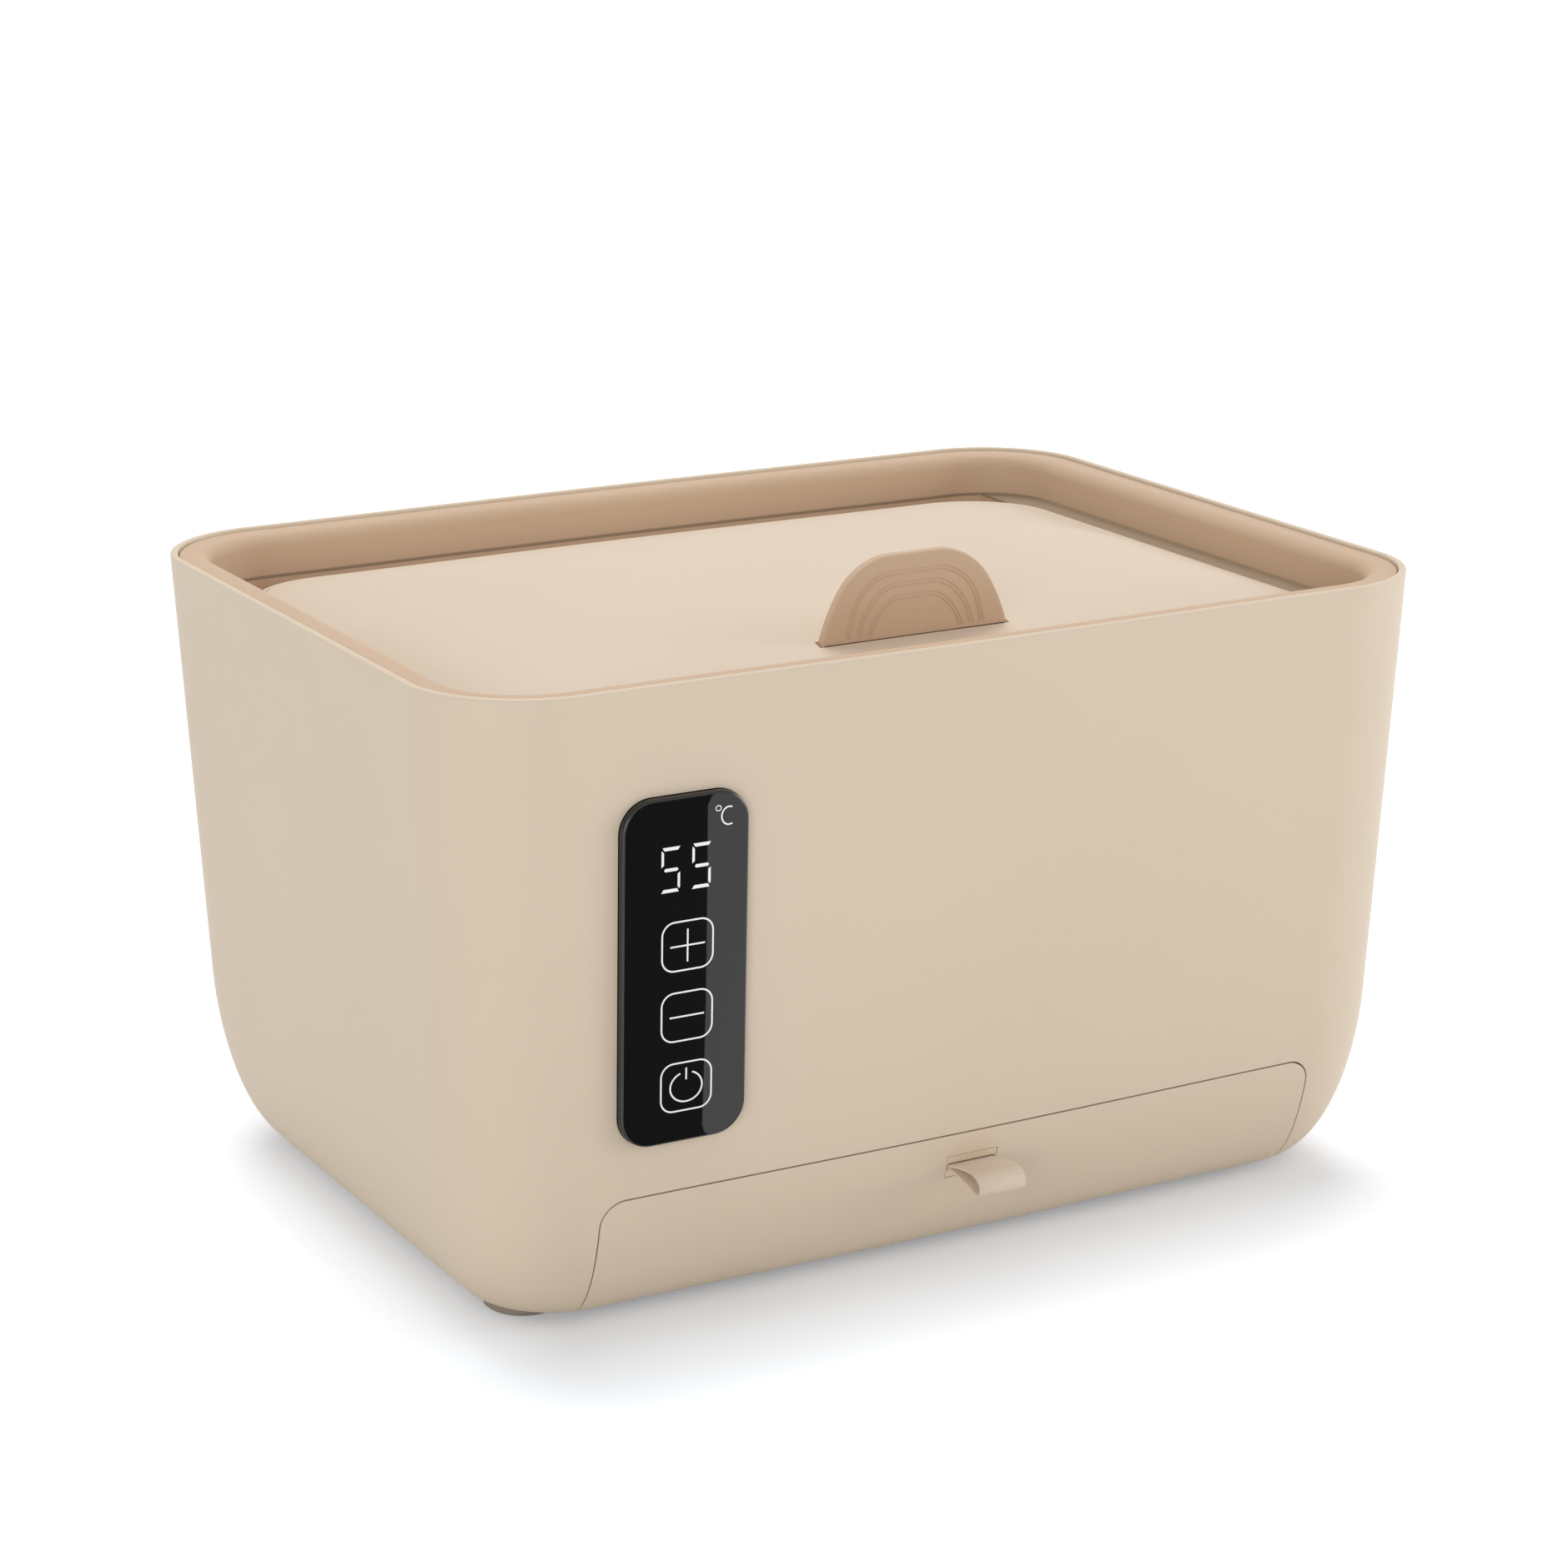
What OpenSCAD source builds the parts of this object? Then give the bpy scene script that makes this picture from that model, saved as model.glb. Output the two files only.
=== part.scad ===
// Warmer for baby wipes: a tapered housing, a crowned lid hinged below its rim,
// a heated tub for the pack of wipes and a shallow drawer under the tub.
// Lengths are millimetres. The front faces -Y and the feet stand on Z = 0.

/* [Housing] */
// Width of the housing over its rim
body_w = 225; // [215:1:250]
// Depth of the housing over its rim
body_d = 168; // [162:1:190]
// Height of the housing above its feet
body_h = 130; // [126:1:150]
// Corner radius of the housing seen from above
corner_r = 25; // [22:0.5:30]
// Wall of the housing
wall = 2.4; // [2:0.1:3]
// Lean of the side walls, in degrees
side_draft = 2.3; // [1:0.1:3]
// Lean of the front and back walls, in degrees
front_draft = 2.6; // [1:0.1:3]
// How far the front and back bow out at the middle
front_bow = 1; // [0:0.1:2]
// Height of the rounded bottom edge
base_round_h = 38; // [30:1:45]
// How far the rounded bottom edge draws in at the sides
base_round_w = 12.9; // [9:0.1:15]
// How far the rounded bottom edge draws in at the front and back
base_round_d = 14.7; // [10:0.1:16]
// Height of the feet
foot_h = 2; // [1:0.5:4]
// Radius of a foot
foot_r = 8.3; // [6:0.1:9]

/* [Rim and lid] */
// Width of the bare rim between the outside and the liner
rim_w = 1.6; // [1.2:0.1:1.8]
// How far the liner's rounded lip reaches in from the outside
lip_reach = 8.3; // [7:0.1:9]
// How far the ledge round the lid lies below the rim
ledge_drop = 9.7; // [8:0.1:11]
// Margin from the housing's outside to the lid's edge
lid_margin = 14.6; // [14:0.1:16]
// Corner radius of the lid
lid_r = 20; // [16:0.5:24]
// Gap between the lid and the liner
lid_gap = 0.4; // [0.3:0.1:0.8]
// Height of the lid's crown above its edge
crown_h = 8.3; // [4:0.1:9]
// Wall of the lid's cover
cover_wall = 2; // [1.5:0.1:2.4]
// Radius of the steel hinge pins
pin_r = 0.8; // [0.6:0.05:0.9]
// Width of the pull tab at its base
tab_w = 42.8; // [30:0.2:50]
// Height of the pull tab above the lid
tab_h = 16.8; // [12:0.2:22]
// Thickness of the pull tab
tab_t = 2.2; // [1.6:0.1:3]

/* [Tub and heater] */
// Wall of the tub
tub_wall = 1.8; // [1.4:0.1:2.4]
// Thickness of the heat spreading plate
plate_t = 1.5; // [1:0.1:2]
// Thickness of the heater film
film_t = 0.6; // [0.4:0.1:1]
// Thickness of the insulation pad
pad_t = 5; // [4.5:0.1:6]
// Thickness of the plate that holds the heater up
retainer_t = 1; // [0.8:0.1:1.5]

/* [Touch panel] */
// Width of the touch glass
glass_w = 26.6; // [22:0.2:32]
// Height of the touch glass
glass_h = 69.8; // [60:0.2:74]
// Corner radius of the touch glass
glass_r = 6.5; // [4:0.1:8]
// How far the glass stands out of the front
glass_proud = 1.7; // [1:0.1:2.5]
// Distance from the housing's side to the middle of the glass
glass_from_side = 45.4; // [42:0.2:60]
// Distance from the rim down to the middle of the glass
glass_from_rim = 56.5; // [50:0.5:60]

/* [Drawer] */
// Margin between the housing's side and the drawer's seam
drawer_margin = 29.2; // [28:0.2:34]
// Height of the drawer's seam above the underside of the housing
drawer_top = 27.5; // [24:0.5:30]
// Radius of the drawer front's upper corners
drawer_r = 6.5; // [4:0.5:10]
// Width of the seam round the drawer front
seam = 0.35; // [0.3:0.05:0.6]
// Wall of the drawer tray
tray_wall = 1.8; // [1.2:0.1:2.4]
// How far the drawer slides out
drawer_travel = 85; // [50:1:90]
// Width of the pull loop's ribbon
ribbon_w = 10.8; // [8:0.2:14]
// Thickness of the ribbon
ribbon_t = 0.8; // [0.5:0.1:1]
// How far the loop hangs out of the drawer front
loop_reach = 12.4; // [9:0.1:16]
// Outer radius of the loop's nose
loop_r = 2.1; // [1.6:0.1:2.6]

/* [Hidden] */
$fn = 48;
eps = 0.01;
corner_steps = 7;
bow_steps = 8;
round_steps = 8;
crown_steps = 11;

// Levels
rim_z = foot_h + body_h;
round_top = foot_h + base_round_h;
floor_z = foot_h + wall;
ledge_z = rim_z - ledge_drop;
rim_edge = 0.6;
lip_drop = 0.7;
seat_depth = 3;

// Housing outline at a height, at a given inset from the outside
function tuck(z, inset) =
    let (t = min(1, max(0, (round_top - z) / (base_round_h - inset)))) 1 - sqrt(1 - t * t);
function half_w(z, inset = 0) =
    body_w / 2 - (rim_z - z) * tan(side_draft) - inset - (base_round_w - inset) * tuck(z, inset);
function half_d(z, inset = 0) =
    body_d / 2 - (rim_z - z) * tan(front_draft) - inset - (base_round_d - inset) * tuck(z, inset);
function corner_at(z, inset = 0) = corner_r - inset - 0.73 * (base_round_w - inset) * tuck(z, inset);
function bow_shape(u) = pow(1 - u * u, 2);
function bow_at(x, z) = front_bow * bow_shape(x / (half_w(z) - corner_at(z)));

// Rounded rectangle of points at height z, bowed out along its front and back
function ring(a, b, r, z, bow = front_bow) = [
    for (q = [0:3]) let (sx = q == 0 || q == 3 ? 1 : -1, sy = q < 2 ? 1 : -1) each concat(
        [for (k = [0:corner_steps]) let (t = 90 * (q + k / corner_steps))
            [sx * (a - r) + r * cos(t), sy * (b - r) + r * sin(t), z]],
        q % 2 == 1 ? [] : [for (k = [1:bow_steps - 1]) let (u = 1 - 2 * k / bow_steps)
            [sx * u * (a - r), sy * (b + bow * bow_shape(u)), z]])
];
function body_ring(z, inset) = ring(half_w(z, inset), half_d(z, inset), corner_at(z, inset), z);
function round_levels(inset) = [
    for (k = [0:round_steps]) round_top - (base_round_h - inset) * cos(90 * k / round_steps)
];
function reversed(list) = [for (i = [len(list) - 1:-1:0]) list[i]];

// Solid between a stack of rings that have the same number of points
module skin(rings, looped = false) {
    n = len(rings[0]);
    m = len(rings);
    walls = [for (i = [0:m - (looped ? 1 : 2)], j = [0:n - 1])
        let (i2 = (i + 1) % m, j2 = (j + 1) % n)
        each [[i * n + j, i2 * n + j, i2 * n + j2], [i * n + j, i2 * n + j2, i * n + j2]]];
    ends = looped ? [] : [[for (j = [0:n - 1]) j], [for (j = [n - 1:-1:0]) (m - 1) * n + j]];
    polyhedron([for (g = rings) each g], concat(walls, ends), convexity = 8);
}

// Housing's outer form drawn in by an inset, from its underside up to a height
module body_solid(inset, top) skin(concat(
    [for (z = round_levels(inset)) body_ring(z, inset)], [body_ring(top, inset)]));

// The pull loop stands out of the front, so the housing's middle lies behind the origin
pull_z = foot_h + 20;
front_reach = half_d(pull_z) + front_bow + loop_reach;
back_reach = body_d / 2 + front_bow;
middle_y = (front_reach - back_reach) / 2;
module placed() translate([0, middle_y, 0]) children();

module round_rect(w, d, r) union() {
    square([w - 2 * r, d], center = true);
    square([w, d - 2 * r], center = true);
    for (x = [-1, 1], y = [-1, 1]) translate([x * (w / 2 - r), y * (d / 2 - r)]) circle(r);
}
module plate(w, d, r, z0, z1) translate([0, 0, z0]) linear_extrude(z1 - z0) round_rect(w, d, r);
module four(x, y) for (sx = [-1, 1], sy = [-1, 1]) translate([sx * x, sy * y, 0]) children();
// Turns a shape drawn along +Z so that it points to -Y
module to_front() rotate([90, 0, 0]) children();

// Pan-head screw that points up, its head's underside on z = 0
module screw(r, length) union() {
    cylinder(r = r, h = length);
    translate([0, 0, -1.3]) cylinder(r = 1.9 * r, h = 1.3);
}

// Touch panel's place: local X across the front, Y up it and Z out of it
glass_x = -(body_w / 2 - glass_from_side);
glass_z = rim_z - glass_from_rim;
glass_yaw = atan(bow_at(glass_x + 1, glass_z) / 2 - bow_at(glass_x - 1, glass_z) / 2);
pocket_depth = 0.8;
tape_t = 0.2;
window_w = glass_w - 7;
window_h = glass_h - 6;
guide_t = wall - pocket_depth + 0.6;
board_t = 1.6;
board_top = -pocket_depth - guide_t;
clip_z = board_top - board_t - 2.2;
clip_x = window_w / 2 + 4.8;
clip_y = window_h / 2 - 12;
module on_panel() translate([glass_x, -half_d(glass_z) - bow_at(glass_x, glass_z), glass_z])
    rotate([0, 0, -glass_yaw]) rotate([90 + front_draft, 0, 0]) children();

// Power inlet's place on the back wall
inlet_x = 62;
inlet_z = foot_h + 35;
inlet_r = 7;
inlet_floor = half_d(inlet_z) - 3.2;
socket_r = 4;
module at_inlet(y) translate([inlet_x, y, inlet_z]) rotate([-90, 0, 0]) children();

// Control board's place behind the tub
board_w = 80;
board_h = 46;
board_x = -10;
board_z = foot_h + 76;
post_r = 3;

// Lid, hinge and liner
lid_a = body_w / 2 - lid_margin;
lid_b = body_d / 2 - lid_margin;
lid_lift = 0.4;
frame_t = 1.6;
frame_rim_w = 1.2;
shelf_z = ledge_z - 3.9;
shelf_w = 4;
shelf_t = 4.2;
lid_z = shelf_z + lid_lift;
frame_top = ledge_z + 0.2;
cover_z = lid_z + frame_t;
hinge_y = lid_b - 2.2;
hinge_z = lid_z + pin_r;
hinge_x = 70;
ear_w = 6;
ear_r = 2 * pin_r;
lug_w = 3.4;
lug_gap = 0.4;
pin_fit = 0.05;
channel_r = norm([lid_b + front_bow - hinge_y, frame_top - hinge_z]) + 0.3;
function lid_ring(grow, z) = ring(lid_a + grow, lid_b + grow, lid_r + grow, z);
function mouth_ring(grow, z) = lid_ring(grow - shelf_w, z);

// Crown of the lid's cover: height above its edge at a distance in from the edge
cover_in = frame_rim_w + 0.2;
cover_a = lid_a - cover_in;
cover_b = lid_b - cover_in;
cover_edge = frame_top + 0.3;
crown_power = 2.9;
function crown(f, rise) = rise * (1 - pow(1 - f, crown_power));
function crown_ring(f, z) = let (s = 0.985 * cover_b * f)
    ring(cover_a - s, cover_b - s, (lid_r - cover_in) * (1 - 0.97 * f), z, front_bow * (1 - f));
tab_y = -(lid_b - 15.3);
tab_z = cover_edge + crown((cover_b + tab_y) / cover_b, crown_h);
slot_gap = 0.3;
arch_step = 2.7;
arch_w = 0.8;
arch_h = 0.2;

// Tub and heater stack
tub_gap = 0.4;
flange_t = 1.8;
flange_z = shelf_z - shelf_t - flange_t;
tub_draft = 2.2;
tub_floor = foot_h + 45;
tub_bottom = tub_floor - tub_wall;
tub_fillet = 6;
tub_rise = shelf_z - shelf_t - tub_bottom;
tub_a = lid_a - shelf_w - tub_gap;
tub_b = lid_b - shelf_w - tub_gap;
tub_r = lid_r - shelf_w - tub_gap;
function tub_ring(in, z) = let (d = in + (flange_z + flange_t - z) * tan(tub_draft))
    ring(tub_a - d, tub_b - d, max(tub_r - d, 2), z);
post_x = tub_a - tub_rise * tan(tub_draft) - tub_fillet - 4.5;
post_y = tub_b - tub_rise * tan(tub_draft) - tub_fillet - 4.5;
heater_w = 2 * post_x - 8;
heater_d = 2 * post_y - 8;
film_z = tub_bottom - plate_t - film_t;
pad_z = film_z - pad_t;
retainer_z = pad_z - retainer_t;

// Drawer, its sleeve and the pull
drawer_a = body_w / 2 - drawer_margin;
drawer_z = foot_h + drawer_top;
front_lip = half_d(foot_h) - 1.6;
sleeve_wall = 1.6;
side_play = 0.5;
tray_a = drawer_a - 2.5;
sleeve_a = tray_a + side_play + sleeve_wall;
sleeve_top = drawer_z + 2.5;
sleeve_front = -front_lip + 0.4;
sleeve_back = front_lip - 6;
glide_t = 0.8;
tray_z = floor_z + sleeve_wall + 0.2 + glide_t;
notch_r = drawer_r + seam / 2;
tray_corner = tray_a - (drawer_a + seam / 2 - notch_r);
tray_top = drawer_z + seam / 2 - notch_r + sqrt(notch_r * notch_r - tray_corner * tray_corner) - 0.4;
tray_front = -(half_d(tray_z, wall) - 1.6);
tray_back = sleeve_back - 10;
stop_z = tray_top + 0.6;
stop_x = 50;
stop_w = 10;
insert_w = ribbon_w + 0.8;
insert_h = 4.9;
insert_flange = 2;
pull_y = -half_d(pull_z) - front_bow;
boss_x = 48;
boss_z = foot_h + 16;
foot_x = half_w(foot_h) - 7.5;
foot_y = half_d(foot_h) - 12.9;

// Outline of the drawer front seen from the front, grown by half the seam or drawn in by it
module drawer_outline(grow) let (a = drawer_a + grow, top = drawer_z + grow, r = drawer_r + grow)
    union() {
        translate([-a, -5]) square([2 * a, top - r + 5]);
        translate([-a + r, 0]) square([2 * a - 2 * r, top]);
        for (x = [-1, 1]) translate([x * (a - r), top - r]) circle(r);
    }
module drawer_cut(grow, y) translate([0, y, 0]) to_front() linear_extrude(body_d) drawer_outline(grow);

module outer_shell() placed() color([0.85, 0.78, 0.7]) difference() {
    union() {
        skin(concat(
            [for (z = round_levels(0)) body_ring(z, 0)],
            [for (k = [0:3]) body_ring(rim_z - rim_edge * (1 - sin(30 * k)), rim_edge * (1 - cos(30 * k)))],
            [for (k = [0:2]) body_ring(rim_z - 0.4 * (1 - cos(45 * k)), rim_w - 0.4 * (1 - sin(45 * k)))],
            [body_ring(rim_z - seat_depth, rim_w), body_ring(rim_z - seat_depth, wall)],
            reversed([for (z = round_levels(wall)) body_ring(z, wall)])));
        intersection() {
            at_inlet(inlet_floor - 2) cylinder(r = inlet_r + 2, h = 8);
            body_solid(wall / 2, rim_z - seat_depth);
        }
        on_panel() four(clip_x, clip_y) translate([0, 0, clip_z]) cylinder(r = 2.6, h = -clip_z - wall / 2);
        for (x = [-1, 1], z = [-1, 1]) board_post(x, z) cylinder(r = post_r, h = post_length(x, z));
    }
    drawer_cut(seam / 2, -front_lip + 0.4);
    on_panel() {
        translate([0, 0, -pocket_depth]) linear_extrude(10) round_rect(glass_w + 0.3, glass_h + 0.3, glass_r);
        translate([0, 0, -2 * wall]) linear_extrude(10) round_rect(window_w, window_h, 3);
        four(clip_x, clip_y) translate([0, 0, clip_z - 1]) cylinder(r = 0.9, h = 5.4);
    }
    at_inlet(inlet_floor) cylinder(r = inlet_r, h = 10);
    at_inlet(inlet_floor - 5) cylinder(r = socket_r + 0.1, h = 10);
    four(foot_x, foot_y) {
        translate([0, 0, foot_h - 1]) cylinder(r = 1.6, h = wall + 2);
        translate([0, 0, foot_h - 1]) cylinder(r = 3, h = 2.4);
    }
    for (x = [-1, 1], z = [-1, 1]) board_post(x, z) translate([0, 0, -1]) cylinder(r = 0.9, h = 6);
    for (k = [0:8]) translate([-60 + 9 * k, front_lip - 2.6, foot_h - 1]) vent();
}
module vent() linear_extrude(wall + 2) round_rect(5, 2, 0.99);

// Posts for the control board run from the board back to the wall
board_face = tub_b + 3.4;
function post_x_at(sx) = board_x + sx * (board_w / 2 - 5);
function post_z_at(sz) = board_z + sz * (board_h / 2 - 5);
function post_length(sx, sz) = half_d(post_z_at(sz)) + bow_at(post_x_at(sx), post_z_at(sz))
    - wall / 2 - board_face;
module board_post(sx, sz) translate([post_x_at(sx), board_face, post_z_at(sz)]) rotate([-90, 0, 0]) children();

module feet() placed() color([0.82, 0.75, 0.67]) four(foot_x, foot_y) rotate_extrude()
    polygon([[0, 0], [foot_r - 0.6, 0], [foot_r, 0.5], [foot_r, foot_h], [0, foot_h]]);

// Liner: lip inside the rim, wall, ledge and the shelf under the lid's edge
module rim_liner() placed() color([0.72, 0.6, 0.49]) union() {
    difference() {
        skin(looped = true, rings = concat(
            [body_ring(rim_z - lip_drop - 0.5, rim_w + 0.15)],
            [for (k = [1:3]) body_ring(rim_z - lip_drop + 0.1 * k - 0.2, rim_w + 0.9 * k)],
            [for (k = [0:6]) body_ring(rim_z - lip_drop + 0.1 - 3.4 * (1 - cos(15 * k)),
                lip_reach - 3.4 * (1 - sin(15 * k)))],
            [body_ring(ledge_z + 0.8, lip_reach), body_ring(ledge_z + 0.2, lip_reach + 0.3),
                body_ring(ledge_z, lip_reach + 1)],
            [lid_ring(lid_gap, ledge_z), lid_ring(lid_gap, shelf_z),
                mouth_ring(0, shelf_z), mouth_ring(0, shelf_z - shelf_t)],
            [body_ring(shelf_z - shelf_t, lip_reach - 2.2),
                body_ring(rim_z - seat_depth - 1.6, lip_reach - 2.2),
                body_ring(rim_z - seat_depth, lip_reach - 3.4),
                body_ring(rim_z - seat_depth, rim_w + 0.15)]));
        // trough that the back edge of the lid turns down into
        translate([0, hinge_y, hinge_z]) rotate([0, 90, 0])
            cylinder(r = channel_r, h = 2 * lid_a - 10, center = true);
        intersection() {
            skin([body_ring(shelf_z, lip_reach + 0.8), body_ring(ledge_z + 2, lip_reach + 0.8)]);
            translate([-lid_a + 3, lid_b - lid_r, shelf_z - 1]) cube([2 * lid_a - 6, 2 * lid_r, 10]);
        }
        liner_posts() translate([0, 0, -1]) cylinder(r = 0.9, h = 4);
    }
    for (x = [-1, 1]) difference() {
        union() {
            ear(x) cylinder(r = ear_r, h = ear_w, center = true);
            translate([x * hinge_x - ear_w / 2, hinge_y - ear_r, shelf_z - shelf_t])
                cube([ear_w, ear_r + 1, hinge_z - shelf_z + shelf_t]);
        }
        ear(x) cylinder(r = pin_r, h = ear_w + 1, center = true);
    }
}
module ear(sx) translate([sx * hinge_x, hinge_y, hinge_z]) rotate([0, 90, 0]) children();
// Places of the screws that hold the tub's flange up to the liner
flange_x = tub_a + 3.6;
flange_y = tub_b + 3.6;
module liner_posts() translate([0, 0, shelf_z - shelf_t]) {
    for (s = [-1, 1], y = [-36, 0, 36]) translate([s * flange_x, y, 0]) children();
    for (x = [-45, 45]) translate([x, -flange_y, 0]) children();
}

module hinge_pins() placed() color("silver") for (x = [-1, 1])
    ear(x) cylinder(r = pin_r, h = ear_w + 2 * lug_w + 2 * lug_gap, center = true);

module wipe_tub() placed() color([0.93, 0.9, 0.86]) difference() {
    union() {
        skin(concat(
            [for (k = [0:4]) tub_ring(tub_fillet * (1 - sin(22.5 * k)),
                tub_bottom + tub_fillet * (1 - cos(22.5 * k)))],
            [tub_ring(0, flange_z), lid_ring(3, flange_z), lid_ring(3, flange_z + flange_t),
                tub_ring(tub_wall, flange_z + flange_t)],
            reversed([for (k = [0:4]) tub_ring(tub_wall + (tub_fillet - tub_wall) * (1 - sin(22.5 * k)),
                tub_floor + (tub_fillet - tub_wall) * (1 - cos(22.5 * k)))])));
        // ribs that keep the wipes off the hot floor
        for (k = [-3:3]) translate([k * heater_w / 8 - 1, -heater_d / 2 + 4, tub_floor - 0.5])
            cube([2, heater_d - 8, 1.7]);
        four(post_x, post_y) translate([0, 0, pad_z]) cylinder(r = 2.6, h = tub_bottom - pad_z + 0.5);
    }
    four(post_x, post_y) translate([0, 0, pad_z - 1]) cylinder(r = 1, h = tub_bottom - pad_z);
    liner_posts() translate([0, 0, -flange_t - 1]) cylinder(r = 1.2, h = flange_t + 2);
}

module drawer_sleeve() placed() color([0.9, 0.9, 0.88]) difference() {
    union() {
        translate([-sleeve_a, sleeve_front, floor_z])
            cube([2 * sleeve_a, sleeve_back - sleeve_front, sleeve_top - floor_z]);
        four(foot_x, foot_y) translate([0, 0, floor_z]) cylinder(r = 3.4, h = 8);
        four((foot_x + sleeve_a) / 2, foot_y) translate([-3.5, -2, floor_z]) cube([7, 4, 5]);
    }
    difference() {
        translate([-sleeve_a + sleeve_wall, sleeve_front - 1, floor_z + sleeve_wall])
            cube([2 * (sleeve_a - sleeve_wall), sleeve_back - sleeve_front + 1 - sleeve_wall,
                sleeve_top - floor_z - 2 * sleeve_wall]);
        // ribs that stop the open drawer
        for (x = [-1, 1]) translate([x * stop_x - stop_w / 2, tray_back - 3 - drawer_travel - 2.1, stop_z])
            cube([stop_w, 2, sleeve_top - stop_z]);
    }
    four(foot_x, foot_y) translate([0, 0, floor_z - 1]) cylinder(r = 1.2, h = 7);
}

module touch_glass() placed() color([0.08, 0.08, 0.08]) on_panel() glass_body();
module glass_body() skin([for (p = [[0, 0], [0, 0.45], [0.1, 0.75], [0.35, 0.93], [0.8, 1]])
    glass_ring(p[0], -pocket_depth + tape_t + p[1] * (glass_proud + pocket_depth - tape_t))]);
function glass_ring(in, z) = let (a = glass_w / 2 - in, b = glass_h / 2 - in, r = glass_r - in) [
    for (q = [0:3], k = [0:corner_steps]) let (t = 90 * (q + k / corner_steps))
        [(q == 0 || q == 3 ? 1 : -1) * (a - r) + r * cos(t), (q < 2 ? 1 : -1) * (b - r) + r * sin(t), z]];

module panel_tape() placed() color([0.2, 0.2, 0.2]) on_panel() translate([0, 0, -pocket_depth])
    linear_extrude(tape_t) difference() {
        round_rect(glass_w - 1, glass_h - 1, glass_r - 0.5);
        round_rect(window_w + 0.6, window_h + 0.6, 3.3);
    }

module light_guide() placed() color("white") on_panel() translate([0, 0, board_top])
    linear_extrude(guide_t) round_rect(window_w - 0.4, window_h - 0.4, 2.8);

module touch_board() placed() color([0.1, 0.35, 0.2]) on_panel() translate([0, 0, board_top - board_t])
    union() {
        linear_extrude(board_t) round_rect(window_w + 3, window_h + 3, 1);
        translate([-5, -6, -2]) cube([10, 10, 2 + eps]);
        translate([-4, -window_h / 2 + 3, -2]) cube([8, 4, 2 + eps]);
    }

module panel_clip() placed() color([0.3, 0.3, 0.3]) on_panel() difference() {
    union() {
        translate([0, 0, clip_z - 1.5]) linear_extrude(1.5) round_rect(2 * clip_x + 7, 2 * clip_y + 8, 3);
        for (s = [-1, 1]) translate([s * (window_w / 2 - 0.5) - 1, -clip_y, clip_z - eps])
            cube([2, 2 * clip_y, 2.2]);
    }
    translate([0, 0, clip_z - 3]) linear_extrude(3) round_rect(window_w - 6, 2 * clip_y - 8, 3);
    four(clip_x, clip_y) translate([0, 0, clip_z - 3]) cylinder(r = 1.3, h = 5);
}

module control_board() placed() color([0.1, 0.35, 0.2]) difference() {
    translate([board_x - board_w / 2, board_face - board_t, board_z - board_h / 2])
        cube([board_w, board_t, board_h]);
    for (x = [-1, 1], z = [-1, 1]) board_post(x, z) translate([0, 0, -board_t - 1])
        cylinder(r = 1.2, h = board_t + 2);
}

module board_parts() placed() color([0.15, 0.15, 0.16]) translate([board_x, board_face, board_z]) {
    translate([-8, 0, -6]) cube([12, 1.6, 12]);
    translate([-26, 0, -14]) cube([10, 5, 8]);
    translate([board_w / 2 - 24, 0, -board_h / 2 + 1]) cube([12, 5.5, 6]);
    for (x = [12, 22]) translate([x, 0, 6]) rotate([-90, 0, 0]) cylinder(r = 3, h = 7);
    translate([-board_w / 2 + 1.5, 0, -8]) cube([5, 4, 16]);
}

module power_socket() placed() color([0.1, 0.1, 0.1]) difference() {
    union() {
        at_inlet(inlet_floor - 2) cylinder(r = socket_r, h = 2);
        translate([inlet_x - 4.5, inlet_floor - 14, inlet_z - 5]) cube([9, 12, 10]);
    }
    difference() {
        at_inlet(inlet_floor - 9.5) cylinder(r = 3, h = 10);
        at_inlet(inlet_floor - 10) cylinder(r = 1, h = 9.5);
    }
}

module heater_plate() placed() color("gainsboro")
    plate(heater_w, heater_d, 6, film_z + film_t, tub_bottom);
module heater_film() placed() color("darkorange") union() {
    plate(heater_w - 4, heater_d - 4, 4, film_z, film_z + film_t);
    translate([-5, heater_d / 2 - 4, film_z]) cube([10, 8, film_t]);
}
sensor_x = -25;
fuse_x = 25;
module in_pad(x, l, grow) translate([x, 0, film_z - 2.2]) rotate([0, 90, 0])
    cylinder(r = 2 + grow, h = l + 2 * grow, center = true);
module insulation_pad() placed() color("lightgray") difference() {
    plate(heater_w, heater_d, 6, pad_z, film_z);
    for (x = [sensor_x, fuse_x]) translate([x - 8, -3, film_z - 4.4]) cube([16, 6, 5]);
}
module temperature_sensor() placed() color("white") in_pad(sensor_x, 9, 0);
module thermal_fuse() placed() color("tan") in_pad(fuse_x, 12, 0);

module heater_retainer() placed() color("lightsteelblue") difference() {
    plate(2 * post_x + 8, 2 * post_y + 8, 4, retainer_z, pad_z);
    four(post_x, post_y) translate([0, 0, retainer_z - 1]) cylinder(r = 1.3, h = retainer_t + 2);
    for (x = [-1, 0, 1]) translate([x * heater_w / 4 - 12, -heater_d / 4, retainer_z - 1])
        cube([24, heater_d / 2, retainer_t + 2]);
}

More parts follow.
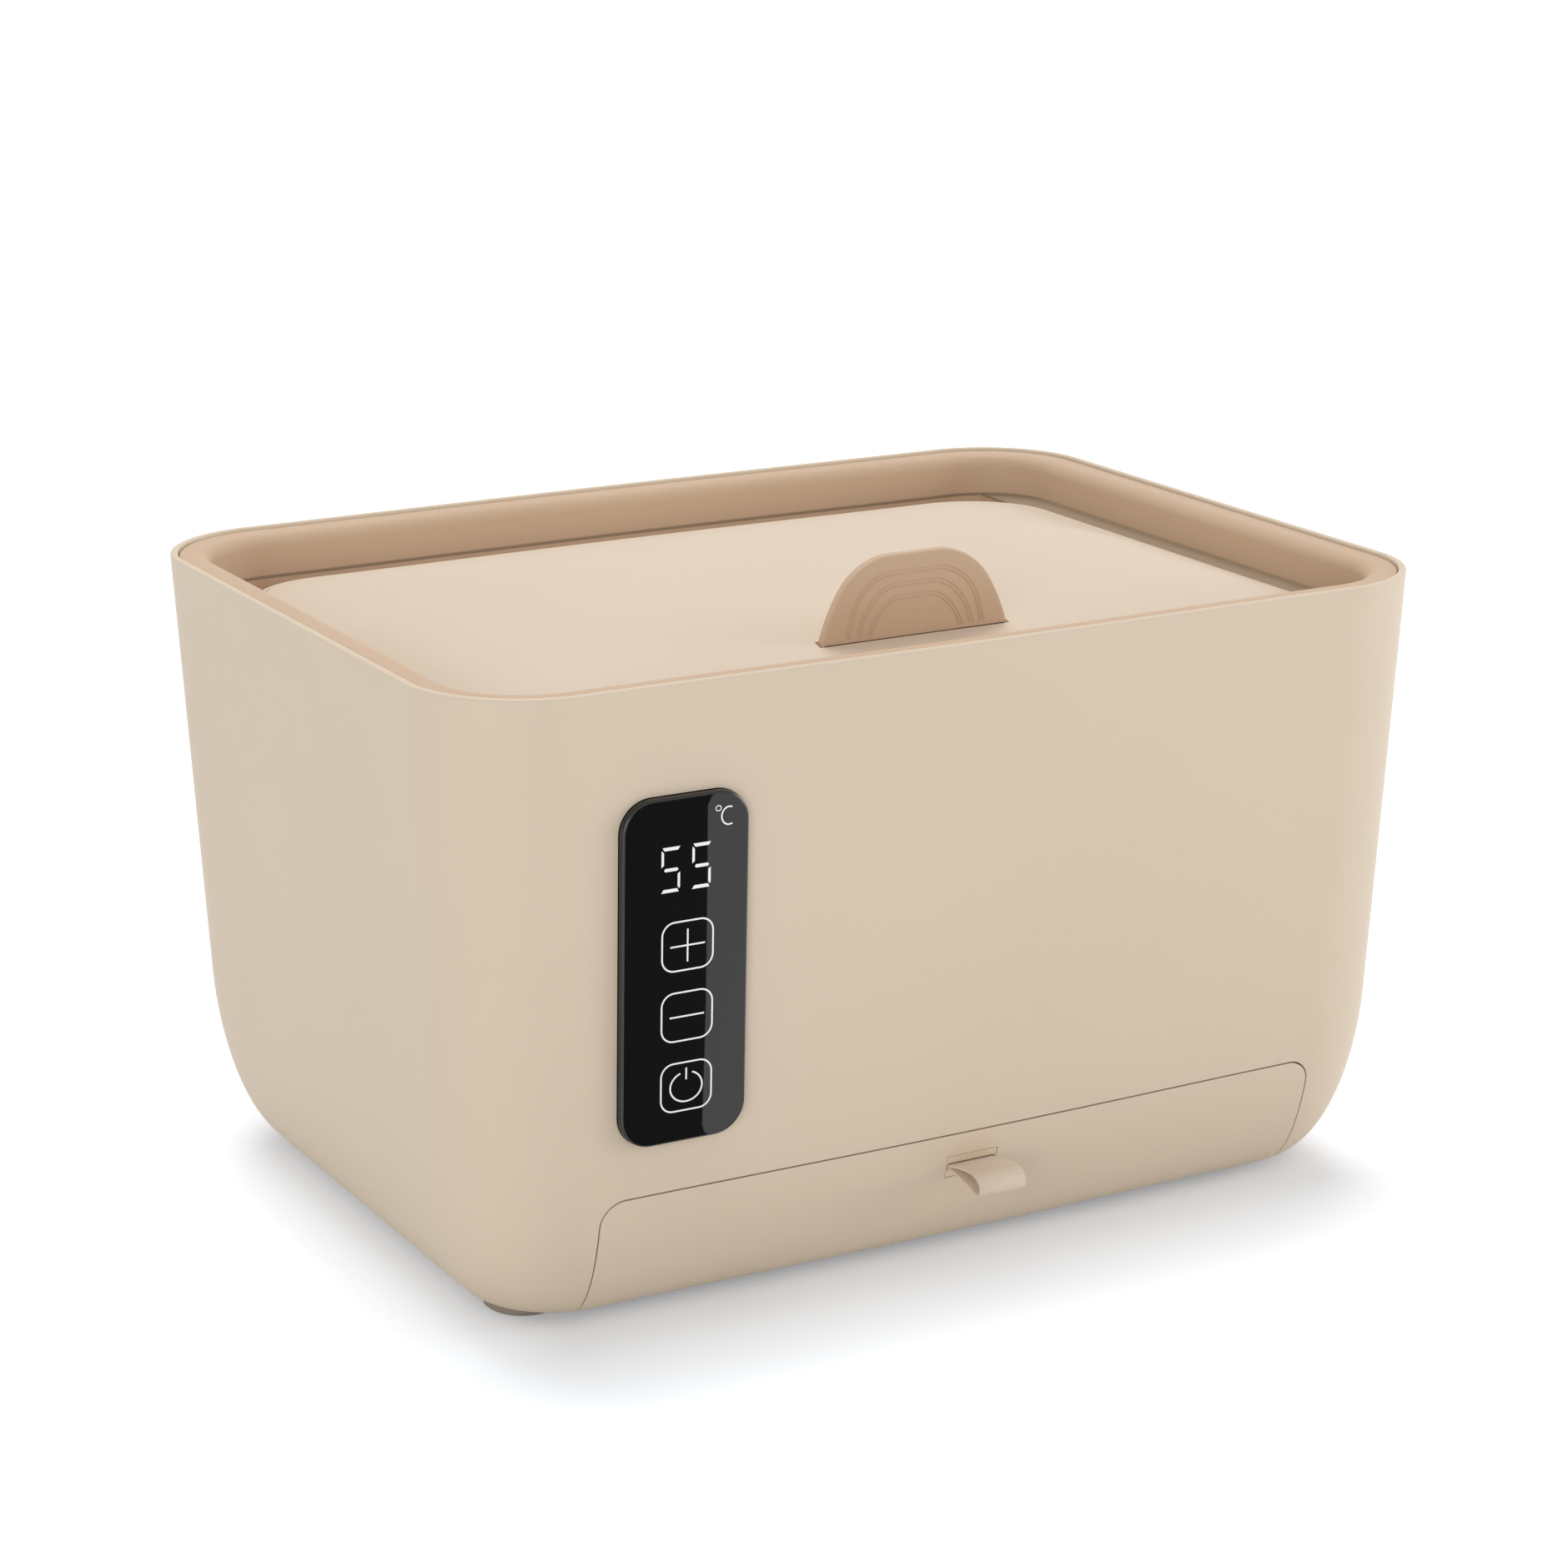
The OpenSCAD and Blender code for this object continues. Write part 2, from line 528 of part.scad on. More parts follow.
// Flat cable from the touch board round the tub's left side to the control board
module panel_ribbon() placed() color([0.75, 0.75, 0.78])
    translate([0, 0, glass_z - window_h / 2 + 10]) linear_extrude(8) for (k = [0:len(cable) - 2])
        translate(cable[k]) rotate(atan2(cable[k + 1].y - cable[k].y, cable[k + 1].x - cable[k].x))
            translate([-0.3, -0.3]) square([norm(cable[k + 1] - cable[k]) + 0.6, 0.6]);
cable_x = -(tub_a + 4.4);
cable = [[glass_x - 2, -tub_b - 6], [glass_x - 8, -tub_b - 3.5], [cable_x + 12, -tub_b - 2.4],
    [cable_x, -tub_b + 12], [cable_x, tub_b - 12], [cable_x + 12, tub_b + 2.4],
    [board_x - board_w / 2 + 1.2, board_face + 2]];

// Round lead swept along a smooth route that starts along u and ends along v
module lead(from, u, to, v, r, hold) let (
    curve = [for (t = [0:0.125:1]) pow(1 - t, 3) * (from + u) + 3 * pow(1 - t, 2) * t * (from + hold * u)
        + 3 * (1 - t) * t * t * (to - hold * v) + pow(t, 3) * (to - v)],
    route = concat([from], curve, [to]), n = len(route))
    skin([for (i = [0:n - 1])
        let (d = route[min(i + 1, n - 1)] - route[max(i - 1, 0)], f = i == 0 ? u : i == n - 1 ? v : d / norm(d),
            s = cross(f, [1, 0, 0]), a = s / norm(s), b = cross(f, a))
        [for (k = [0:7]) route[i] + r * (a * cos(45 * k) + b * sin(45 * k))]]);
module power_leads() placed() color("firebrick") for (s = [-1, 1])
    lead([inlet_x + 2 * s, inlet_floor - 8, inlet_z + 5], [0, 0, 1],
        [board_x + board_w / 2 - 18 + 2 * s, board_face + 2.8, board_z - board_h / 2 + 1], [0, 0, 1], 0.8, 8);
module heater_leads() placed() color("white") for (s = [-1, 1])
    lead([2 * s, heater_d / 2 + 4, film_z + film_t / 2], [0, 1, 0],
        [board_x - 21 + 2 * s, board_face + 2.5, board_z - 14], [0, 0, 1], 0.6, 17);

module base_screws() placed() color("silver") four(foot_x, foot_y)
    translate([0, 0, foot_h + 1.4]) screw(1.15, 7);
module flange_screws() placed() color("silver") liner_posts()
    translate([0, 0, -flange_t]) screw(0.85, flange_t + 2.6);
module retainer_screws() placed() color("silver") four(post_x, post_y)
    translate([0, 0, retainer_z]) screw(0.95, retainer_t + 5);
module clip_screws() placed() color("silver") on_panel() four(clip_x, clip_y)
    translate([0, 0, clip_z - 1.5]) screw(0.85, 4.5);
module board_screws() placed() color("silver") for (x = [-1, 1], z = [-1, 1])
    board_post(x, z) translate([0, 0, -board_t]) screw(0.85, board_t + 4);

// Lid: a flat frame with an upright edge, the crowned cover on it and a seal under it
module lid_frame() placed() color([0.86, 0.8, 0.73]) difference() {
    union() {
        difference() {
            skin([lid_ring(-0.3, lid_z), lid_ring(0, lid_z + 0.3), lid_ring(0, frame_top - 0.3),
                lid_ring(-0.3, frame_top), lid_ring(-frame_rim_w, frame_top),
                lid_ring(-frame_rim_w, cover_z)]);
            for (x = [-1, 1]) translate([x * hinge_x - ear_w / 2 - lug_gap, hinge_y - ear_r - 0.6, lid_z - 1])
                cube([ear_w + 2 * lug_gap, 8, hinge_z + ear_r + 0.3 - lid_z + 1]);
        }
        for (x = [-1, 1], s = [-1, 1]) translate([s * (ear_w + lug_w + 2 * lug_gap) / 2, 0, 0])
            ear(x) cylinder(r = ear_r + 0.1, h = lug_w, center = true);
    }
    for (x = [-1, 1]) ear(x) cylinder(r = pin_r + pin_fit, h = ear_w + 3 * lug_w, center = true);
    lid_posts() translate([0, 0, lid_z - 1]) cylinder(r = 1.2, h = frame_t + 2);
}
post_in = 20;
post_top = cover_edge + crown((post_in - cover_in) / cover_b, crown_h) - cover_wall / 2;
module lid_posts() four(lid_a - post_in - 4, lid_b - post_in) children();

module lid_cover() placed() color([0.89, 0.83, 0.76]) difference() {
    union() {
        difference() {
            skin(concat([crown_ring(0, cover_z)],
                [for (k = [0:crown_steps]) let (f = pow(k / crown_steps, 1.5))
                    crown_ring(f, cover_edge + crown(f, crown_h) - (k == 0 ? 0.5 : 0))]));
            skin(concat([ring(cover_a - cover_wall, cover_b - cover_wall, lid_r - cover_in - cover_wall,
                cover_z - 1, 0)], [for (k = [0:crown_steps - 1]) let (f = pow(k / crown_steps, 1.5))
                    crown_ring(0.03 + f * 0.95, cover_edge + crown(f, crown_h) - cover_wall)]));
        }
        lid_posts() translate([0, 0, cover_z]) cylinder(r = 2.6, h = post_top - cover_z);
    }
    translate([-tab_w / 2 - 0.6, tab_y - tab_t / 2 - slot_gap, cover_z - 1])
        cube([tab_w + 1.2, tab_t + 2 * slot_gap, 20]);
    for (x = [-1, 1]) translate([x * hinge_x - ear_w / 2 - lug_gap - lug_w - 0.6, hinge_y - 3, cover_z - 1])
        cube([ear_w + 2 * (lug_gap + lug_w) + 1.2, 6, hinge_z + ear_r + 0.4 - cover_z + 1]);
    lid_posts() translate([0, 0, cover_z - 1]) cylinder(r = 0.9, h = 3.5);
}

module lid_gasket() placed() color([0.8, 0.74, 0.68]) skin(looped = true, rings = [
    mouth_ring(-1, lid_z), mouth_ring(-4, lid_z), mouth_ring(-4, lid_z - 1.4),
    mouth_ring(-2.2, lid_z - 1.8), mouth_ring(-2.2, shelf_z - shelf_t + 0.3),
    mouth_ring(-1, shelf_z - shelf_t + 0.3)]);

// Arched outline of the pull tab: two round shoulders and straight sides down to the base
function shoulder_x(w) = 0.14 * w;
function side_point(w, h, r, s) = let (cx = shoulder_x(w), cy = h - r, d = [w / 2 - cx, -cy],
    a = atan2(d.y, d.x) + acos(min(1, r / norm(d)))) [s * (cx + r * cos(a)), cy + r * sin(a)];
module tab_outline(w, h) let (cx = shoulder_x(w), r = 0.71 * h) union() {
    for (s = [-1, 1]) translate([s * cx, h - r]) intersection() {
        circle(r);
        translate([-r, r - h]) square([2 * r, h]);
    }
    polygon([[-w / 2, 0], [w / 2, 0], side_point(w, h, r, 1), [cx, h], [-cx, h], side_point(w, h, r, -1)]);
}

module pull_tab() placed() color([0.72, 0.59, 0.47]) translate([0, tab_y, tab_z]) union() {
    translate([0, tab_t / 2, 0]) to_front() linear_extrude(tab_t) tab_outline(tab_w, tab_h);
    // grip ribs on the front, three fine arches
    for (k = [1:3]) let (w = tab_w - arch_step * (2 * k + 1.4), h = tab_h - arch_step * (k + 0.2))
        translate([0, -tab_t / 2, 0]) to_front() linear_extrude(arch_h) difference() {
            tab_outline(w, h);
            tab_outline(w - 2 * arch_w, h - arch_w);
            translate([-w, -1]) square([2 * w, 1.8]);
        }
    // root through the cover's slot, with a foot that holds it
    translate([-tab_w / 2, -tab_t / 2, cover_z - tab_z + 0.2]) cube([tab_w, tab_t, tab_z - cover_z]);
    translate([-tab_w / 2 - 2, -tab_t / 2 - 1.4, cover_z - tab_z + 0.1]) cube([tab_w + 4, tab_t + 2.8, 1.2]);
}

module lid_screws() placed() color("silver") lid_posts() translate([0, 0, lid_z]) screw(0.85, frame_t + 2);

module drawer_front() placed() color([0.84, 0.77, 0.69]) difference() {
    intersection() {
        union() {
            difference() {
                body_solid(0, round_top + 10);
                body_solid(wall, round_top + 11);
            }
            intersection() {
                body_solid(wall / 2, round_top + 10);
                for (x = [-1, 1]) translate([x * boss_x, tray_front, boss_z]) to_front() cylinder(r = 3.4, h = 20);
            }
        }
        drawer_cut(-seam / 2, -front_lip);
    }
    for (x = [-1, 1]) translate([x * boss_x, tray_front + 1, boss_z]) to_front() cylinder(r = 0.9, h = 6);
    at_pull(2 * wall + 6, insert_w + 0.3, insert_h + 0.3, -3);
}

module drawer_tray() placed() color([0.9, 0.88, 0.84]) difference() {
    union() {
        translate([-tray_a, tray_front, tray_z]) cube([2 * tray_a, tray_back - tray_front, tray_top - tray_z]);
        for (x = [-1, 1]) translate([x * stop_x - stop_w / 2, tray_back - 3, tray_top - 1])
            cube([stop_w, 3, 2.2]);
    }
    translate([0, (tray_front + tray_back) / 2, 0]) plate(2 * (tray_a - tray_wall),
        tray_back - tray_front - 2 * tray_wall, 5, tray_z + tray_wall, tray_top + 5);
    for (x = [-1, 1]) translate([x * boss_x, tray_front + 5, boss_z]) to_front() cylinder(r = 1.2, h = 8);
}

module glide_strips() placed() color("white") for (x = [-1, 1])
    translate([x * (tray_a - 12) - 4, tray_front + 6, tray_z - glide_t])
        cube([8, tray_back - tray_front - 12, glide_t]);

module drawer_screws() placed() color("silver") for (x = [-1, 1])
    translate([x * boss_x, tray_front + tray_wall, boss_z]) to_front() screw(0.85, tray_wall + 4);

// Insert that carries the ribbon through the drawer front, at the front's own slope
pull_slope = atan((half_d(pull_z + 2) - half_d(pull_z - 2)) / 4);
module at_pull(depth, w, h, y = 0) translate([0, pull_y, pull_z]) rotate([pull_slope, 0, 0])
    translate([-w / 2, y, -h / 2]) cube([w, depth, h]);
module pull_insert() placed() color([0.84, 0.77, 0.69]) difference() {
    union() {
        at_pull(wall + 0.3, insert_w, insert_h);
        at_pull(1.5, insert_w + 2 * insert_flange, insert_h + 2 * insert_flange, wall + 0.2);
    }
    translate([-ribbon_w / 2 - 0.05, -body_d, pull_z - ribbon_t - 0.05])
        cube([ribbon_w + 0.1, body_d, 2 * ribbon_t + 0.1]);
}

// Ribbon folded into a teardrop loop; both ends run through the insert to a stitched bar
module pull_ribbon() placed() color([0.85, 0.78, 0.69]) translate([ribbon_w / 2, pull_y, pull_z])
    rotate([0, -90, 0]) rotate([0, 0, 90]) linear_extrude(ribbon_w) union() {
        difference() {
            teardrop(loop_r, ribbon_t);
            teardrop(loop_r - ribbon_t, 0.05);
        }
        translate([-2, -ribbon_t]) square([wall + 5.4, 2 * ribbon_t]);
        translate([wall + 3, -2]) square([1.6, 4]);
    }
module teardrop(r, root) hull() {
    translate([-loop_reach + loop_r, -0.4]) circle(r, $fn = 32);
    translate([-0.5, 0]) circle(root, $fn = 16);
}

outer_shell();
feet();
rim_liner();
wipe_tub();
drawer_sleeve();
touch_glass();
panel_tape();
light_guide();
touch_board();
panel_clip();
control_board();
board_parts();
power_socket();
heater_plate();
heater_film();
insulation_pad();
heater_retainer();
temperature_sensor();
thermal_fuse();
panel_ribbon();
power_leads();
heater_leads();
base_screws();
flange_screws();
retainer_screws();
clip_screws();
board_screws();
hinge_pins();
lid_frame();
lid_cover();
lid_gasket();
pull_tab();
lid_screws();
drawer_front();
drawer_tray();
glide_strips();
drawer_screws();
pull_insert();
pull_ribbon();
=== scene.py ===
import math

import bmesh
import bpy
from mathutils import Matrix, Vector


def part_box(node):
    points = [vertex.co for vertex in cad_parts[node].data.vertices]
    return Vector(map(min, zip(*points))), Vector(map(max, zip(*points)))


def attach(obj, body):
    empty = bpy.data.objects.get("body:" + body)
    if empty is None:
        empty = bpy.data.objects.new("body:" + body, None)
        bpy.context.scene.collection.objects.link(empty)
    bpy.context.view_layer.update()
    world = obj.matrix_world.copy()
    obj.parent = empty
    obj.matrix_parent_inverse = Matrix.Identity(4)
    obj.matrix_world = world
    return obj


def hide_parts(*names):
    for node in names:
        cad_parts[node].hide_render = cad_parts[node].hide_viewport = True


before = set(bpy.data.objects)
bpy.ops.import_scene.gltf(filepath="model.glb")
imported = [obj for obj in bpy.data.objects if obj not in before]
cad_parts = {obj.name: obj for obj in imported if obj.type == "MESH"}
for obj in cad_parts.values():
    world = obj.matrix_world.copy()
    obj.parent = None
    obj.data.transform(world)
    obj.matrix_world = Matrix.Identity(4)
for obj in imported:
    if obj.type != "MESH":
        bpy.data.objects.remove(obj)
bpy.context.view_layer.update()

print("frame loaded:", len(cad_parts), "nodes")

# Camera: long lens, a little above the rim, seen from the front left
camera = {
    "place": (-0.3901, -0.70337, 0.3132),
    "turn": 28.941,  # degrees to the right of +Y
    "down": 15.994,
    "roll": -0.185,
    "lens": 89.87, "sensor": 36.0, "clip": 0.01,
}


def sinOf(angle):
    return math.sin(math.radians(angle))


def cosOf(angle):
    return math.cos(math.radians(angle))


def tanOf(angle):
    return math.tan(math.radians(angle))


def turn(angle, axis):
    return Matrix.Rotation(math.radians(angle), 4, axis)


def shift(x, y, z):
    return Matrix.Translation((x, y, z))


def placeObject(name, data):
    made = bpy.data.objects.new(name, data)
    bpy.context.scene.collection.objects.link(made)
    return made


cameraData = bpy.data.cameras.new("photoCamera")
cameraData.lens = camera["lens"]
cameraData.sensor_width = camera["sensor"]
cameraData.clip_start = camera["clip"]
photoCamera = placeObject("photoCamera", cameraData)
photoCamera.location = camera["place"]
photoCamera.rotation_mode = "XYZ"
aim = turn(-camera["turn"], "Z") @ turn(90 - camera["down"], "X") @ turn(camera["roll"], "Z")
photoCamera.rotation_euler = aim.to_euler("XYZ")
bpy.context.scene.camera = photoCamera
print("camera placed")

# Housing in millimetres, the same sizes as the frame's own solids
housing = {
    "width": 225.0, "depth": 168.0, "height": 130.0, "corner": 25.0, "wall": 2.4,
    "sideDraft": 2.3, "frontDraft": 2.6, "bow": 1.0,
    "roundHeight": 38.0, "roundWidth": 12.9, "roundDepth": 14.7, "cornerShrink": 0.73,
    "foot": 2.0, "rimWidth": 1.6, "rimEdge": 0.6, "lipEdge": 0.4, "seat": 3.0,
}
rimLevel = housing["foot"] + housing["height"]
roundTop = housing["foot"] + housing["roundHeight"]
shellLow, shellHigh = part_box("outer_shell")
middleY = 500.0 * (shellLow.y + shellHigh.y)
cornerSteps = 20
bowSteps = 28
sideSteps = 10


def tuck(z, inset=0.0):
    t = min(1.0, max(0.0, (roundTop - z) / (housing["roundHeight"] - inset)))
    return 1.0 - math.sqrt(max(0.0, 1.0 - t * t))


def halfWidth(z, inset=0.0):
    return (housing["width"] / 2 - (rimLevel - z) * tanOf(housing["sideDraft"])
            - inset - (housing["roundWidth"] - inset) * tuck(z, inset))


def halfDepth(z, inset=0.0):
    return (housing["depth"] / 2 - (rimLevel - z) * tanOf(housing["frontDraft"])
            - inset - (housing["roundDepth"] - inset) * tuck(z, inset))


def cornerAt(z, inset=0.0):
    return (housing["corner"] - inset
            - housing["cornerShrink"] * (housing["roundWidth"] - inset) * tuck(z, inset))


def bowShape(u):
    return (1.0 - min(1.0, u * u)) ** 2


def bowAt(x, z):
    return housing["bow"] * bowShape(x / (halfWidth(z) - cornerAt(z)))


# Signs of the four corners of a rounded rectangle, and the angles round each
def roundCorners(steps):
    return [(sx, sy, [math.radians(90 * (corner + k / steps)) for k in range(steps + 1)])
            for corner, (sx, sy) in enumerate([(1, 1), (-1, 1), (-1, -1), (1, -1)])]


# Rounded rectangle, bowed out along its front and back
def ring(a, b, r, z, bow=housing["bow"]):
    points = []
    for sx, sy, arc in roundCorners(cornerSteps):
        points += [(sx * (a - r) + r * math.cos(t), middleY + sy * (b - r) + r * math.sin(t), z) for t in arc]
        steps = bowSteps if sx == sy else sideSteps
        for u in [1 - 2 * k / steps for k in range(1, steps)]:
            if sx == sy:
                points.append((sx * u * (a - r), middleY + sy * (b + bow * bowShape(u)), z))
            else:
                points.append((sx * a, middleY + sy * u * (b - r), z))
    return points


def bodyRing(z, inset=0.0):
    return ring(halfWidth(z, inset), halfDepth(z, inset), cornerAt(z, inset), z)


# Steps round a quarter of a circle of radius 1: what is left to go along each axis
def rounding(step, first=0):
    return [(1 - cosOf(step * k), 1 - sinOf(step * k)) for k in range(first, round(90 / step) + 1)]


# The points before and after one of a path
def beside(points, i, closed=False):
    if closed:
        return points[i - 1], points[(i + 1) % len(points)]
    return points[max(i - 1, 0)], points[min(i + 1, len(points) - 1)]


def smoothPiece(piece, sharp):
    piece.data.shade_smooth()
    piece.data.set_sharp_from_angle(angle=math.radians(sharp))


# Takes millimetres
def addPiece(name, vertices, faces, sharp=32):
    mesh = bpy.data.meshes.new(name)
    mesh.from_pydata([(x / 1000, y / 1000, z / 1000) for x, y, z in vertices], [], faces)
    mesh.validate()
    mesh.update()
    piece = placeObject(name, mesh)
    smoothPiece(piece, sharp)
    return piece


# Solid through rings that have the same number of points
def skin(name, rings, looped=False, sharp=32):
    rows, n = len(rings), len(rings[0])
    faces = []
    for i in range(rows if looped else rows - 1):
        up = (i + 1) % rows * n
        faces += [(i * n + j, i * n + (j + 1) % n, up + (j + 1) % n, up + j) for j in range(n)]
    if not looped:
        faces += [tuple(range(n - 1, -1, -1)), tuple(range((rows - 1) * n, rows * n))]
    return addPiece(name, [point for one in rings for point in one], faces, sharp)


# Straight-sided solid over an outline, with its axis along the place's own Z
def prism(name, outline, low, high, place=Matrix.Identity(4)):
    n = len(outline)
    corners = [place @ Vector((x, y, z)) for z in (low, high) for x, y in outline]
    faces = [tuple(range(n - 1, -1, -1)), tuple(range(n, 2 * n))]
    faces += [(j, (j + 1) % n, n + (j + 1) % n, n + j) for j in range(n)]
    return addPiece(name, [tuple(c) for c in corners], faces)


def around(middle, half):
    return middle - half, middle + half


# Box between a low and a high value along each axis
def block(name, xs, ys, zs, place=Matrix.Identity(4)):
    return prism(name, [(xs[0], ys[0]), (xs[1], ys[0]), (xs[1], ys[1]), (xs[0], ys[1])], zs[0], zs[1], place)


def roundedOutline(w, h, r, steps=12):
    return [(sx * (w / 2 - r) + r * math.cos(t), sy * (h / 2 - r) + r * math.sin(t))
            for sx, sy, arc in roundCorners(steps) for t in arc]


def circleOutline(r, steps=48, x=0.0):
    return [(x + r * math.cos(2 * math.pi * k / steps), r * math.sin(2 * math.pi * k / steps))
            for k in range(steps)]


# Welds points closer than the gap and drops the empty faces that a cut leaves
def weld(piece, outward=False, gap=0.002):
    mesh = bmesh.new()
    mesh.from_mesh(piece.data)
    bmesh.ops.remove_doubles(mesh, verts=mesh.verts, dist=gap / 1000)
    bmesh.ops.dissolve_degenerate(mesh, edges=mesh.edges, dist=gap / 1000)
    if outward:
        bmesh.ops.recalc_face_normals(mesh, faces=mesh.faces)
    mesh.to_mesh(piece.data)
    mesh.free()


def carve(piece, cutters, operation="DIFFERENCE", sharp=32):
    for cutter in cutters:
        step = piece.modifiers.new("carve", "BOOLEAN")
        step.operation = operation
        step.object = cutter
        step.solver = "EXACT"
    graph = bpy.context.evaluated_depsgraph_get()
    made = bpy.data.meshes.new_from_object(piece.evaluated_get(graph))
    piece.modifiers.clear()
    piece.data = made
    for cutter in cutters:
        bpy.data.objects.remove(cutter)
    weld(piece)
    smoothPiece(piece, sharp)


# Merges the meshes of several pieces into one piece
def joinPieces(name, pieces, sharp=32):
    vertices, faces = [], []
    for piece in pieces:
        start = len(vertices)
        vertices += [tuple(v.co * 1000) for v in piece.data.vertices]
        faces += [tuple(start + i for i in f.vertices) for f in piece.data.polygons]
    for piece in pieces:
        bpy.data.objects.remove(piece)
    return addPiece(name, vertices, faces, sharp)


# Sets the true form's normals on faces that a cut left with slivers
def keepNormals(piece, normalAt, within, agree=0.96):
    mesh = piece.data
    normals = [Vector(n.vector) for n in mesh.corner_normals]
    known = {}
    for face in mesh.polygons:
        if not within(face.center * 1000):
            continue
        for corner in face.loop_indices:
            index = mesh.loops[corner].vertex_index
            if index not in known:
                known[index] = normalAt(mesh.vertices[index].co * 1000)
            if known[index].dot(face.normal) > agree:
                normals[corner] = known[index]
    mesh.normals_split_custom_set(normals)


# How far a point lies outside a bowed, rounded rectangle
def outsideBy(x, y, a, b, r, bow):
    y = y - middleY
    wide = b + bow * bowShape(x / (a - r)) if abs(x) < a - r else b
    dx, dy = abs(x) - (a - r), abs(y) - (wide - r)
    if dx > 0 and dy > 0:
        return math.hypot(dx, dy) - r
    return max(dx, dy) - r


def bodyNormal(p):
    def out(x, y, z):
        return outsideBy(x, y, halfWidth(z), halfDepth(z), cornerAt(z), housing["bow"])
    step = 0.05
    z = min(max(p.z, housing["foot"] + 2 * step), rimLevel - housing["rimEdge"] - step)
    g = Vector((out(p.x + step, p.y, z) - out(p.x - step, p.y, z),
                out(p.x, p.y + step, z) - out(p.x, p.y - step, z),
                out(p.x, p.y, z + step) - out(p.x, p.y, z - step)))
    return g.normalized()


# Thin round bead along points in millimetres
def bead(name, points, radius, sides, sharp):
    rings = []
    for i, point in enumerate(points):
        before, after = beside(points, i)
        along = (Vector(after) - Vector(before)).normalized()
        side = along.cross(Vector((0, 1, 0))).normalized()
        other = along.cross(side)
        turns = [2 * math.pi * k / sides for k in range(sides)]
        rings.append([tuple(Vector(point) + radius * (side * math.cos(t) + other * math.sin(t)))
                      for t in turns])
    return skin(name, rings, sharp=sharp)


# Materials

# Screen colour 0-255 to the linear colour that the sockets take
def tint(r, g, b):
    def one(c):
        c = c / 255
        return c / 12.92 if c <= 0.04045 else ((c + 0.055) / 1.055) ** 2.4
    return (one(r), one(g), one(b), 1.0)


# Links sockets to other nodes' outputs, or sets their own values
def feed(tree, node, values):
    for label, value in values.items():
        if isinstance(value, bpy.types.NodeSocket):
            tree.links.new(value, node.inputs[label])
        else:
            node.inputs[label].default_value = value


def addNode(tree, kind, values):
    node = tree.nodes.new("ShaderNode" + kind)
    feed(tree, node, values)
    return node


def newGroup(name, inputs, outputs):
    tree = bpy.data.node_groups.new(name, "ShaderNodeTree")
    for label, value in inputs.items():
        socket = tree.interface.new_socket(name=label, in_out="INPUT", socket_type="NodeSocketFloat")
        socket.default_value = value
    for label in outputs:
        tree.interface.new_socket(name=label, in_out="OUTPUT", socket_type="NodeSocketFloat")
    return tree, tree.nodes.new("NodeGroupInput").outputs, tree.nodes.new("NodeGroupOutput")


def mathNode(tree, operation, *values):
    node = tree.nodes.new("ShaderNodeMath")
    node.operation = operation
    feed(tree, node, dict(enumerate(values)))
    return node.outputs[0]


def noiseNode(tree, place, scale, detail, roughness):
    node = addNode(tree, "TexNoise", {"Vector": place, "Scale": scale, "Detail": detail,
                                      "Roughness": roughness})
    return node.outputs[0]


def spread(tree, value, low, high, toLow=0.0, toHigh=1.0):
    node = addNode(tree, "MapRange", {"Value": value, "From Min": low, "From Max": high,
                                      "To Min": toLow, "To Max": toHigh})
    return node.outputs["Result"]


def objectPlace(tree):
    return tree.nodes.new("ShaderNodeTexCoord").outputs["Object"]


def objectAxes(tree):
    return addNode(tree, "SeparateXYZ", {"Vector": objectPlace(tree)}).outputs


def lowAndHigh(tree, middle, half):
    return mathNode(tree, "SUBTRACT", middle, half), mathNode(tree, "ADD", middle, half)


noiseReach = (0.3, 0.7)  # nearly all of a noise texture's values lie between these


# Spark-eroded mould texture: tiny even pits, and a slow drift of tone
def makeMouldGrain():
    tree, start, end = newGroup(
        "mouldGrain",
        {"Grain Scale": 1800.0, "Drift Scale": 14.0, "Roughness": 0.5, "Roughness Spread": 0.06},
        ["Height", "Drift", "Roughness"])
    place = objectPlace(tree)
    fine = noiseNode(tree, place, start["Grain Scale"], 3.0, 0.6)
    slow = noiseNode(tree, place, start["Drift Scale"], 3.0, 0.5)
    half = mathNode(tree, "MULTIPLY", start["Roughness Spread"], 0.5)
    low, high = lowAndHigh(tree, start["Roughness"], half)
    feed(tree, end, {"Height": fine, "Drift": spread(tree, slow, *noiseReach),
                     "Roughness": spread(tree, fine, *noiseReach, low, high)})
    return tree


# Fine drawn lines for sheet and wire
def makeBrushedLines():
    tree, start, end = newGroup("brushedLines", {"Scale": 900.0, "Roughness": 0.35},
                                ["Height", "Roughness", "Tone"])
    stretch = addNode(tree, "Mapping", {"Vector": objectPlace(tree), "Scale": (0.04, 1.0, 1.0)})
    lines = noiseNode(tree, stretch.outputs["Vector"], start["Scale"], 4.0, 0.6)
    low, high = lowAndHigh(tree, start["Roughness"], 0.08)
    feed(tree, end, {"Height": lines, "Tone": spread(tree, lines, *noiseReach),
                     "Roughness": spread(tree, lines, *noiseReach, low, high)})
    return tree


